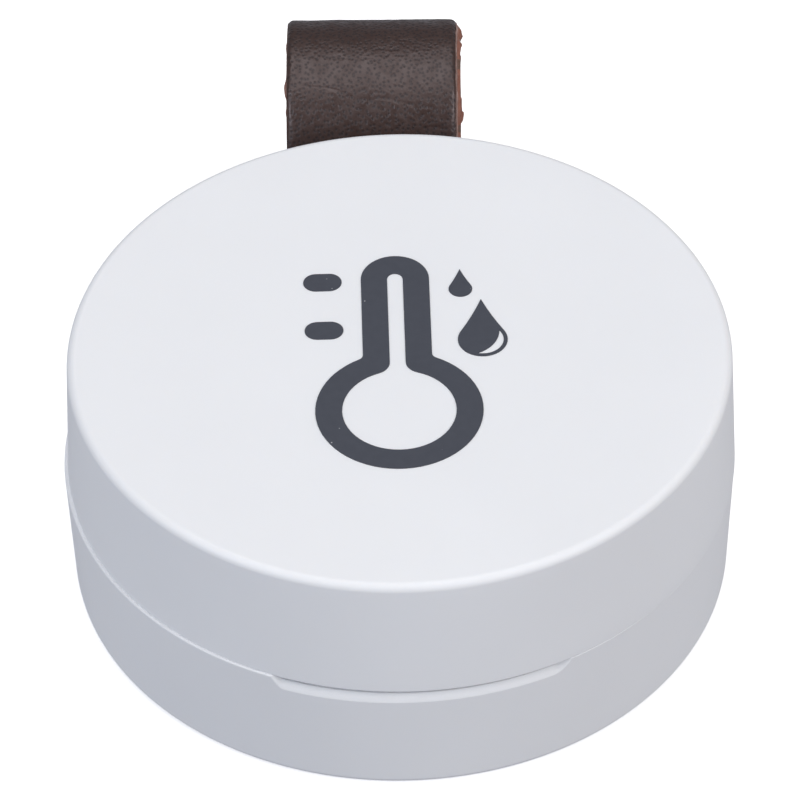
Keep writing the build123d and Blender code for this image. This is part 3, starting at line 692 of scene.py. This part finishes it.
pad = lathe("foam_pad", [
    (0, PAD_FOOT, 0), (6.85, PAD_FOOT, 0.1), (PAD_RADIUS, 12.4, 0.3), (PAD_RADIUS, 13.3, 0.3),
    (6.9, ROOF_UNDER, 0.1), (0, ROOF_UNDER, 0),
], **CELL)
finish_piece(pad, "cover", "foam", ["cell_pad"])

# %% [markdown]
# ## Small solid parts with softened edges
# The rest of the inside has the right shape already, but its edges are perfectly sharp, and no real edge is.
# Each part is copied, its loose triangles are merged, flat areas become single faces, and a small bevel
# rounds its edges by what its process leaves: more on moulded nylon, less on stamped strip.


# %% A softened copy of a solid part
def softened(node, slot, soften):
    """A copy that replaces the solid part, with its edges rounded by so many millimetres."""
    source = frame["nodes"][node]
    piece = bpy.data.objects.new(node + "_softened", source.data.copy())
    bpy.context.scene.collection.objects.link(piece)
    piece.data.materials.clear()
    only(piece)
    piece.scale = (1 / MM, 1 / MM, 1 / MM)
    settle()
    bpy.ops.mesh.customdata_custom_splitnormals_clear()
    edit(piece)
    bpy.ops.mesh.select_all(action="SELECT")
    bpy.ops.mesh.remove_doubles(threshold=JOIN)
    bpy.ops.mesh.dissolve_limited(angle_limit=radians(1))
    leave()
    modify(piece, "BEVEL", limit_method="ANGLE", angle_limit=radians(40), width=soften, segments=2)
    return finish_piece(piece, source["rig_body"], slot, [node])


# Node: (slot, rounding in millimetres)
SMALL_PARTS = {
    "strap_pin": ("stainless_steel", 0.03),
    "main_board": ("circuit_board", 0.04),
    "board_screws": ("zinc_steel", 0.05),
    "cell_holder": ("black_nylon", 0.12),
    "positive_contact": ("nickel_strip", 0.03),
    "negative_contact": ("nickel_strip", 0.03),
    "humidity_sensor": ("sensor_body", 0.03),
    "radio_chip": ("chip_epoxy", 0.05),
    "main_crystal": ("crystal_can", 0.06),
    "clock_crystal": ("crystal_can", 0.05),
    "chip_antenna": ("antenna_ceramic", 0.05),
    "power_coils": ("coil_ferrite", 0.012),
    "large_capacitors": ("capacitor", 0.012),
    "small_capacitors": ("capacitor", 0.012),
    "resistors": ("resistor", 0.012),
    "status_led": ("led_body", 0.03),
    "switch_body": ("switch_plastic", 0.05),
    "switch_frame": ("switch_steel", 0.03),
    "switch_dome": ("switch_steel", 0.01),
    "switch_plunger": ("plunger_plastic", 0.04),
}
small = {node: softened(node, *facts) for node, facts in SMALL_PARTS.items()}

# %% [markdown]
# ## Colours and nodes
# Materials are made of nodes, so that nothing is one flat colour. Colours are picked as sRGB hex values and
# turned to linear ones, which is what a shader works in. Patterns read Object coordinates, which are metres,
# so a pattern's scale is 1000 divided by its size in millimetres.

# %% Helpers for materials
PER_MM = 1000
# The Mix node has a set of sockets for each kind of data. These are the ones for colours.
FACTOR, FIRST, SECOND, COLOUR = 0, 6, 7, {"out": 2, "data_type": "RGBA"}


def linear(code):
    """The linear colour of an sRGB hex value."""
    channels = [int(code[i : i + 2], 16) / 255 for i in (1, 3, 5)]
    return (*[c / 12.92 if c <= 0.04045 else ((c + 0.055) / 1.055) ** 2.4 for c in channels], 1)


def start(name, sockets):
    """A new material with plain numbers and colours set on its shader's own sockets."""
    material = bpy.data.materials.new(name)
    material.use_nodes = True
    shader = material.node_tree.nodes["Principled BSDF"]
    for socket, value in sockets.items():
        shader.inputs[socket].default_value = value
    return material


def add(material, kind, inputs=None, out=0, **settings):
    """Adds a node, fills its sockets with values, hex colours or links, and gives one of its outputs."""
    made = material.node_tree.nodes.new("ShaderNode" + kind)
    for name, value in settings.items():
        setattr(made, name, value)
    for name, value in (inputs or {}).items():
        if isinstance(value, bpy.types.NodeSocket):
            material.node_tree.links.new(value, made.inputs[name])
        else:
            made.inputs[name].default_value = linear(value) if isinstance(value, str) else value
    return made.outputs[out]


def feed(material, sockets):
    """Links patterns to the shader, which completes the material."""
    shader = material.node_tree.nodes["Principled BSDF"]
    for socket, value in sockets.items():
        material.node_tree.links.new(value, shader.inputs[socket])
    print(material.name, "has", len(material.node_tree.nodes), "nodes")


print("white is", [round(c, 3) for c in linear("#FFFFFF")])

# %% [markdown]
# ## White ABS
# The case is injection-moulded ABS. Its mould was spark-eroded, which leaves a satin surface: the eye sees
# soft, wide reflections and no grain from arm's length. White pigment lets a little light in, which softens
# edges.

# %% Moulded white ABS
white_abs = start("moulded_white_abs", {
    "IOR": 1.54, "Subsurface Weight": 0.12, "Subsurface Radius": (0.0009, 0.0008, 0.0007),
    "Subsurface Scale": 1,
})
place = add(white_abs, "TexCoord", out="Object")
flow = add(white_abs, "TexNoise", {"Vector": place, "Scale": PER_MM / 9, "Detail": 2})
# The real texture is about 0.05 mm wide; 0.14 mm is the finest that shows here.
spark = add(white_abs, "TexNoise", {"Vector": place, "Scale": PER_MM / 0.14, "Detail": 1})
tint = add(white_abs, "Mix", {FACTOR: flow, FIRST: "#E9EAEE", SECOND: "#EEEFF3"}, **COLOUR)
satin = add(white_abs, "MapRange", {"Value": spark, "To Min": 0.5, "To Max": 0.62})
relief = add(white_abs, "Bump", {"Height": spark, "Strength": 0.25, "Distance": 0.01 * MM})
feed(white_abs, {"Base Color": tint, "Roughness": satin, "Normal": relief})
for piece in (base, cover):
    piece.data.materials.append(white_abs)
print("white ABS on", base.name, "and", cover.name)

# %% [markdown]
# ## Printed ink
# The thermometer and drops are pad-printed: a silicone pad lays down a thin film of dark grey ink. The film
# is slightly uneven and has tiny pinholes where it missed a speck of dust.

# %% Pad-printed ink
ink = start("pad_printed_ink", {"IOR": 1.5, "Roughness": 0.52, "Specular IOR Level": 0.4})
place = add(ink, "TexCoord", out="Object")
film = add(ink, "TexNoise", {"Vector": place, "Scale": PER_MM / 0.6, "Detail": 3})
specks = add(ink, "TexVoronoi", {"Vector": place, "Scale": PER_MM / 0.9})
missed = {"Value": specks, "From Min": 0.035, "From Max": 0.05, "To Min": 1, "To Max": 0}
pinhole = add(ink, "MapRange", missed)
tone = add(ink, "Mix", {FACTOR: film, FIRST: "#3F424C", SECOND: "#474A54"}, **COLOUR)
dotted = add(ink, "Mix", {FACTOR: pinhole, FIRST: tone, SECOND: "#B9BABF"}, **COLOUR)
relief = add(ink, "Bump", {"Height": film, "Strength": 0.3, "Distance": 0.01 * MM})
feed(ink, {"Base Color": dotted, "Normal": relief})


def recoat(node, material):
    """Gives a solid part's object a better material."""
    slots = frame["nodes"][node].material_slots
    for slot in slots:
        slot.material = material
    print(node, "has", material.name, "in", len(slots), "slot")


recoat("pictogram_print", ink)

# %% [markdown]
# ## Leather
# The strap is dyed cowhide with its grain left on, and its cut edges are raw. The grain side has fine pores
# about 0.3 mm apart and soft creases, with a waxy shine. The cut shows reddish brown fibres. The flesh side,
# inside the loop, is matt and nappy. All patterns read the place on the flat hide, in millimetres.

# %% Grain side
WAXED = {"IOR": 1.5, "Specular IOR Level": 0.7, "Specular Tint": (1, 0.92, 0.98, 1)}
SMOOTH = {"interpolation_type": "SMOOTHSTEP"}
grain = start("dyed_grain_cowhide", WAXED)
hide = add(grain, "Attribute", attribute_name="hide_place", out="Vector")
cells = {"Vector": hide, "Scale": 1 / 0.27, "Randomness": 0.9}
pores = add(grain, "TexVoronoi", cells, voronoi_dimensions="2D")
pits = add(grain, "MapRange", {"Value": pores, "From Max": 0.5}, **SMOOTH)
beads = add(grain, "TexNoise", {"Vector": hide, "Scale": 1 / 0.3, "Detail": 2})
# A crease runs where a noise, drawn out along the strap's width, passes its middle value.
drawn_out = add(grain, "Mapping", {"Vector": hide, "Scale": (1 / 1.6, 1 / 6, 1)})
wander = add(grain, "TexNoise", {"Vector": drawn_out, "Scale": 1, "Detail": 2})
apart = add(grain, "Math", {0: wander, 1: 0.5}, operation="SUBTRACT")
apart = add(grain, "Math", {0: apart}, operation="ABSOLUTE")
crease = add(grain, "MapRange", {"Value": apart, "From Max": 0.06}, **SMOOTH)
worn = add(grain, "TexNoise", {"Vector": hide, "Scale": 1 / 4, "Detail": 2})
bent = add(grain, "MapRange", {"Value": worn, "From Min": 0.45, "From Max": 0.6})
height = add(grain, "Math", {0: beads, 1: 2.2, 2: pits}, operation="MULTIPLY_ADD")
lines = add(grain, "Math", {0: crease, 1: bent}, operation="MULTIPLY")
height = add(grain, "Math", {0: lines, 1: 1.3, 2: height}, operation="MULTIPLY_ADD")
dye = add(grain, "Mix", {FACTOR: worn, FIRST: "#33231D", SECOND: "#3E2C25"}, **COLOUR)
# Painted shade: the pits are coloured near-black over the dye, standing in for the shade inside each pore.
pore_shaded_dye = add(grain, "Mix", {FACTOR: pits, FIRST: "#1D1310", SECOND: dye}, **COLOUR)
patches = add(grain, "TexNoise", {"Vector": hide, "Scale": 1 / 0.7, "Detail": 3})
lit = {"Value": patches, "From Min": 0.35, "From Max": 0.65, "To Min": 0.5, "To Max": 0.3}
shine = add(grain, "MapRange", lit)
wax = add(grain, "MapRange", {"Value": pits, "To Min": 0.5, "To Max": shine})
relief = add(grain, "Bump", {"Height": height, "Strength": 0.6, "Distance": 0.026 * MM})
feed(grain, {"Base Color": pore_shaded_dye, "Roughness": wax, "Normal": relief})

# %% Cut edge and flesh side
# The dye only reaches a little way in: next to the grain the cut is paler, towards the flesh reddish brown.
cut = start("raw_cut_leather", {"IOR": 1.5, "Roughness": 0.9})
hide = add(cut, "Attribute", attribute_name="hide_place", out="Vector")
depth = add(cut, "SeparateXYZ", {"Vector": hide}, out="Z")
inward = add(cut, "MapRange", {"Value": depth, "From Min": 0.3, "From Max": 0.05})
layer = add(cut, "Mix", {FACTOR: inward, FIRST: "#C4ABA4", SECOND: "#A06C5B"}, **COLOUR)
stretched = add(cut, "Mapping", {"Vector": hide, "Scale": (1.2, 4, 5)})
fibres = add(cut, "TexNoise", {"Vector": stretched, "Scale": 1.3, "Detail": 6, "Roughness": 0.7})
shade = add(cut, "MapRange", {"Value": fibres, "From Min": 0.3, "From Max": 0.65})
tone = add(cut, "Mix", {FACTOR: shade, FIRST: "#734A3E", SECOND: layer}, **COLOUR)
relief = add(cut, "Bump", {"Height": fibres, "Strength": 0.9, "Distance": 0.1 * MM})
feed(cut, {"Base Color": tone, "Normal": relief})

flesh = start("nappy_flesh_side", {"IOR": 1.5, "Roughness": 0.95, "Sheen Weight": 0.5})
hide = add(flesh, "Attribute", attribute_name="hide_place", out="Vector")
nap = add(flesh, "TexNoise", {"Vector": hide, "Scale": 1 / 0.35, "Detail": 5, "Roughness": 0.7})
tone = add(flesh, "Mix", {FACTOR: nap, FIRST: "#4A342C", SECOND: "#7F6152"}, **COLOUR)
relief = add(flesh, "Bump", {"Height": nap, "Strength": 0.8, "Distance": 0.08 * MM})
feed(flesh, {"Base Color": tone, "Normal": relief})

# %% Which face of the strip is which
for material in (grain, cut, flesh):
    strap.data.materials.append(material)
# A face belongs to the cut if it stands upright or lies well inside the thickness.
UPRIGHT, WELL_INSIDE = 0.12, 0.4
flat = [v.vector for v in strap.data.attributes["hide_place"].data]
for face in strap.data.polygons:
    height = sum(flat[i].z for i in face.vertices) / len(face.vertices)
    rise = max(flat[i].z for i in face.vertices) - min(flat[i].z for i in face.vertices)
    face.material_index = 1 if rise > UPRIGHT or abs(height) < WELL_INSIDE else (0 if height > 0 else 2)
counts = [sum(f.material_index == i for f in strap.data.polygons) for i in range(3)]
print("grain, cut and flesh faces:", counts)

# %% [markdown]
# ## Metals, plastics and ceramics inside
# These finishes only show when the cover is off. Each starts from a typical roughness for its process, and
# gets a fine pattern along the way it was made: round scratches on turned steel, straight ones on strip.

# %% A table of simple finishes
# Slot: (material, refraction index or METAL, darker and lighter colour, pattern size in millimetres, stretch,
# range of roughness, relief in millimetres)
METAL, EVEN = 0, (1, 1, 1)
FINISHES = {
    "stainless_steel": (
        "ground_stainless_steel", METAL, "#A9A9A8", "#C2C2C0", 0.12, (0.05, 1, 1), (0.2, 0.34), 0.002,
    ),
    "zinc_steel": ("zinc_plated_steel", METAL, "#A7ACB0", "#C7CBCD", 0.3, EVEN, (0.22, 0.4), 0.003),
    "nickel_strip": (
        "nickel_plated_spring_strip", METAL, "#C9C5B8", "#DDD9CD", 0.5, (1, 0.08, 1), (0.34, 0.42), 0.0002,
    ),
    "switch_steel": (
        "tinned_spring_steel", METAL, "#C4C4C4", "#DADAD8", 0.5, (0.1, 1, 1), (0.32, 0.42), 0.0002,
    ),
    "crystal_can": ("plated_crystal_lid", METAL, "#B9B29E", "#D3CCB9", 0.2, (1, 0.2, 1), (0.22, 0.38), 0.002),
    "black_nylon": ("moulded_black_nylon", 1.53, "#1A1A1B", "#262628", 0.22, EVEN, (0.42, 0.62), 0.008),
    "gasket": ("moulded_polypropylene_seal", 1.49, "#2C2C2E", "#3A3A3D", 0.4, EVEN, (0.3, 0.42), 0.003),
    "chip_epoxy": ("moulded_epoxy", 1.55, "#17171A", "#222226", 0.12, EVEN, (0.5, 0.66), 0.004),
    "sensor_body": ("moulded_sensor_epoxy", 1.55, "#1D1D20", "#29292C", 0.12, EVEN, (0.45, 0.6), 0.004),
    "antenna_ceramic": ("fired_antenna_ceramic", 1.7, "#DDE4EA", "#E9EEF2", 0.2, EVEN, (0.35, 0.5), 0.003),
    "coil_ferrite": ("sintered_ferrite", 1.9, "#2E2E31", "#444449", 0.15, EVEN, (0.5, 0.7), 0.006),
    "capacitor": ("fired_titanate_ceramic", 1.8, "#9A7B5C", "#B39374", 0.18, EVEN, (0.3, 0.45), 0.003),
    "resistor": ("glazed_resistor", 1.6, "#202024", "#2E2E33", 0.2, EVEN, (0.15, 0.3), 0.002),
    "led_body": ("white_led_base", 1.53, "#E6E4DA", "#F1EFE6", 0.3, EVEN, (0.35, 0.5), 0.003),
    "switch_plastic": ("moulded_switch_nylon", 1.53, "#202022", "#2C2C2E", 0.15, EVEN, (0.4, 0.58), 0.004),
    "plunger_plastic": ("moulded_red_nylon", 1.53, "#8F2A20", "#A8372B", 0.2, EVEN, (0.32, 0.48), 0.004),
    "tinned_ends": ("tinned_copper_ends", METAL, "#BDBDBB", "#D6D6D3", 0.12, EVEN, (0.25, 0.42), 0.004),
    "foam": ("closed_cell_foam", 1.5, "#2B2B2E", "#3A3A3E", 0.16, EVEN, (0.85, 0.95), 0.03),
}
finishes = {}
for slot, (name, index, darker, lighter, size, stretch, rough, depth) in FINISHES.items():
    made = start(name, {"Metallic": 1.0} if index == METAL else {"IOR": index})
    place = add(made, "TexCoord", out="Object")
    spread = add(made, "Mapping", {"Vector": place, "Scale": stretch})
    fine = add(made, "TexNoise", {"Vector": spread, "Scale": PER_MM / size, "Detail": 3})
    broad = add(made, "TexNoise", {"Vector": place, "Scale": PER_MM / (size * 12), "Detail": 2})
    tint = add(made, "Mix", {FACTOR: broad, FIRST: darker, SECOND: lighter}, **COLOUR)
    gloss = add(made, "MapRange", {"Value": fine, "To Min": rough[0], "To Max": rough[1]})
    relief = add(made, "Bump", {"Height": fine, "Strength": 0.6, "Distance": depth * MM})
    feed(made, {"Base Color": tint, "Roughness": gloss, "Normal": relief})
    finishes[slot] = made
print(len(finishes), "finishes")

# %% [markdown]
# ## Steel drawn and spun
# The cell's can and cap are drawn from nickel-plated steel on a round punch, so their fine lines run in rings
# about the cell's middle. A Mapping node puts the centre of those rings on the cell.

# %% Drawn nickel-plated steel
drawn = start("drawn_nickel_plated_steel", {"Metallic": 1.0})
place = add(drawn, "TexCoord", out="Object")
centred = add(drawn, "Mapping", {"Vector": place, "Location": (0, -CELL["place"][1] * MM, 0)})
rings = add(drawn, "TexWave", {
    "Vector": centred, "Scale": PER_MM / 3.1, "Distortion": 2.0, "Detail": 3, "Detail Scale": 2.0,
}, out="Fac", wave_type="RINGS", rings_direction="Z")
smudge = add(drawn, "TexNoise", {"Vector": place, "Scale": PER_MM / 4, "Detail": 4})
tint = add(drawn, "Mix", {FACTOR: smudge, FIRST: "#B5B4B0", SECOND: "#CBCAC6"}, **COLOUR)
both = add(drawn, "Math", {0: rings, 1: smudge}, operation="MULTIPLY")
gloss = add(drawn, "MapRange", {"Value": both, "To Min": 0.2, "To Max": 0.42})
relief = add(drawn, "Bump", {"Height": rings, "Strength": 0.15, "Distance": 0.004 * MM})
feed(drawn, {"Base Color": tint, "Roughness": gloss, "Normal": relief})
finishes["cell_steel"] = drawn

# %% [markdown]
# ## The circuit board
# A board is glass cloth in resin with a green lacquer, the solder mask. Copper tracks under the mask show as
# slightly raised, lighter lines. They run in bundles, along the board in one patch and across it in the next,
# and tinned rings mark the holes that join its two sides.

# %% Solder mask over copper
board = start("solder_masked_glass_laminate", {"IOR": 1.55, "Coat Weight": 0.3, "Coat Roughness": 0.15})
PATCH, PITCH, TRACK = 1.9 * MM, 0.42 * MM, 0.1 * MM
place = add(board, "TexCoord", out="Object")
patch = add(board, "VectorMath", {0: place, 1: (PATCH, PATCH, PATCH)}, operation="SNAP")
choice = add(board, "TexWhiteNoise", {"Vector": patch})
lines = []
for axis in ("X", "Y"):
    along = add(board, "SeparateXYZ", {"Vector": place}, out=axis)
    wave = add(board, "Math", {0: along, 1: PITCH / 2}, operation="PINGPONG")
    lines.append(add(board, "Math", {0: wave, 1: TRACK}, operation="LESS_THAN"))
across = add(board, "Math", {0: choice, 1: 0.55}, operation="GREATER_THAN")
tracks = add(board, "Mix", {0: across, 2: lines[0], 3: lines[1]})
poured = add(board, "Math", {0: choice, 1: 0.22}, operation="LESS_THAN")
copper = add(board, "Math", {0: tracks, 1: poured}, operation="MAXIMUM")
cells = {"Vector": place, "Scale": PER_MM / 1.9, "Randomness": 0.6}
spots = add(board, "TexVoronoi", cells, voronoi_dimensions="2D")
ring = add(board, "Math", {0: spots, 1: 0.12}, operation="LESS_THAN")
# Painted shade: the middle of each ring is coloured almost black, standing in for the dark inside of a
# drilled hole.
hole_shade_spot = add(board, "Math", {0: spots, 1: 0.055}, operation="LESS_THAN")
weave = add(board, "TexChecker", {"Vector": place, "Scale": PER_MM / 0.3}, out="Fac")
cloud = add(board, "TexNoise", {"Vector": place, "Scale": PER_MM / 3, "Detail": 3})
mask = add(board, "Mix", {FACTOR: cloud, FIRST: "#0B3F26", SECOND: "#0F4A2C"}, **COLOUR)
track = add(board, "Mix", {FACTOR: copper, FIRST: mask, SECOND: "#1C6B40"}, **COLOUR)
ringed = add(board, "Mix", {FACTOR: ring, FIRST: track, SECOND: "#B9B6A6"}, **COLOUR)
hole_shaded = add(board, "Mix", {FACTOR: hole_shade_spot, FIRST: ringed, SECOND: "#0A1C13"}, **COLOUR)
raised = add(board, "Math", {0: weave, 1: 0.06, 2: copper}, operation="MULTIPLY_ADD")
gloss = add(board, "MapRange", {"Value": cloud, "To Min": 0.28, "To Max": 0.42})
relief = add(board, "Bump", {"Height": raised, "Strength": 0.6, "Distance": 0.03 * MM})
feed(board, {"Base Color": hole_shaded, "Roughness": gloss, "Normal": relief, "Metallic": ring})
finishes["circuit_board"] = board

# %% Giving the small parts their finishes
inner = dict(small)
inner.update({"cell_can": can, "cell_cap": cap, "cell_gasket": seal, "cell_pad": pad})
for node, piece in inner.items():
    piece.data.materials.append(finishes[piece["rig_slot"]])
print(len(inner), "pieces inside have a finish")

# %% [markdown]
# ## Tinned ends and the LED's lens
# Chip capacitors, resistors and coils are ceramic blocks with a tinned cap at each end, which is what the
# solder holds. The LED has a clear resin lens on its white base. Faces are told apart by where they lie.


# %% Second finishes by place
def islands(piece):
    """Lists of faces that hang together."""
    shape = bmesh.new()
    shape.from_mesh(piece.data)
    left, groups = set(shape.faces), []
    while left:
        group, reach = [], [left.pop()]
        while reach:
            face = reach.pop()
            group.append(face.index)
            for vertex in face.verts:
                near = [f for f in vertex.link_faces if f in left]
                left.difference_update(near)
                reach += near
        groups.append(group)
    shape.free()
    return groups


# A cap begins at this share of the block's length from its middle.
CAP_SHARE = 0.27
for node in ("power_coils", "large_capacitors", "small_capacitors", "resistors"):
    piece = small[node]
    piece.data.materials.append(finishes["tinned_ends"])
    for group in islands(piece):
        middles = [piece.data.polygons[i].center for i in group]
        sides = [max(m[a] for m in middles) - min(m[a] for m in middles) for a in (0, 1)]
        long = sides.index(max(sides))
        centre = (max(m[long] for m in middles) + min(m[long] for m in middles)) / 2
        for i in group:
            if abs(piece.data.polygons[i].center[long] - centre) > CAP_SHARE * sides[long]:
                piece.data.polygons[i].material_index = 1
    print(node, len(islands(piece)), "parts")

# %% The LED's lens
LENS_FOOT = 3.87
lens = start("clear_resin_lens", {"IOR": 1.5, "Roughness": 0.08, "Transmission Weight": 0.6})
place = add(lens, "TexCoord", out="Object")
haze = add(lens, "TexNoise", {"Vector": place, "Scale": PER_MM / 0.4, "Detail": 2})
tint = add(lens, "Mix", {FACTOR: haze, FIRST: "#EDE9C8", SECOND: "#F6F3DC"}, **COLOUR)
feed(lens, {"Base Color": tint})
led = small["status_led"]
led.data.materials.append(lens)
for face in led.data.polygons:
    face.material_index = 1 if face.center.z > LENS_FOOT * MM else 0
print("lens faces:", sum(f.material_index for f in led.data.polygons))

# %% [markdown]
# ## Floor and light
# The object stands on a plain white light table. One soft light hangs above it, which draws the band of sheen
# on the leather. Two more stand left and right in front, so the lip of the notch is brighter than the wall.
# The picture's background was cut out, so nothing of the table's light falls on the wall, and here it doesn't
# either.

# %% White light table
# It lies a hair under the case, so that the two faces don't flicker.
TABLE_WIDE, TABLE_DROP, TABLE_GLOW = 4, 0.00002, 0.4
bpy.ops.mesh.primitive_plane_add(size=TABLE_WIDE, location=(0, 0, -TABLE_DROP))
floor = bpy.context.object
floor.name = "white_table"
table_top = start("white_light_table", {
    "IOR": 1.45, "Roughness": 0.8, "Emission Color": (1, 1, 1, 1), "Emission Strength": TABLE_GLOW,
})
place = add(table_top, "TexCoord", out="Object")
cloud = add(table_top, "TexNoise", {"Vector": place, "Scale": 8, "Detail": 2})
tint = add(table_top, "Mix", {FACTOR: cloud, FIRST: "#FAFAFB", SECOND: "#FCFCFD"}, **COLOUR)
feed(table_top, {"Base Color": tint})
floor.data.materials.append(table_top)
floor.visible_diffuse = floor.visible_glossy = False

# %% Soft lights
AIM = Vector((0, 0, 0.0075))


def soft_light(name, size, place, power, colour):
    """A square light that points at the object, with its size and place in metres and its power in watts."""
    bpy.ops.object.light_add(type="AREA", location=place)
    light = bpy.context.object
    light.name = name
    light.data.size, light.data.energy, light.data.color = size, power, linear(colour)[:3]
    light.rotation_mode = "QUATERNION"
    light.rotation_quaternion = (AIM - Vector(place)).to_track_quat("-Z", "Y")
    print(name, power, "W")


soft_light("overhead_softbox", 0.8, (0, 0.05, 0.8), 3.4, "#FFFEFB")
soft_light("left_softbox", 0.6, (-0.71, -0.48, 0.52), 4.1, "#F4F9FF")
soft_light("right_softbox", 0.6, (0.7, -0.5, 0.52), 4.8, "#FFFDFA")
bpy.context.scene.view_settings.view_transform = "Standard"

# %% The room
# A dim room, a little brighter from below, where a real table would throw light back.
ROOM_BELOW, ROOM_ABOVE, ROOM_FADE = 0.42, 0.2, 0.15
world = bpy.data.worlds.new("white_room")
world.use_nodes = True
direction = add(world, "TexCoord", out="Generated")
height = add(world, "SeparateXYZ", {"Vector": direction}, out="Z")
amount = add(world, "MapRange", {
    "Value": height, "From Min": -ROOM_FADE, "From Max": ROOM_FADE,
    "To Min": ROOM_BELOW, "To Max": ROOM_ABOVE,
})
background = world.node_tree.nodes["Background"]
world.node_tree.links.new(amount, background.inputs["Strength"])
background.inputs["Color"].default_value = linear("#F1F4FF")
bpy.context.scene.world = world
print("room light", ROOM_BELOW, "below and", ROOM_ABOVE, "above")
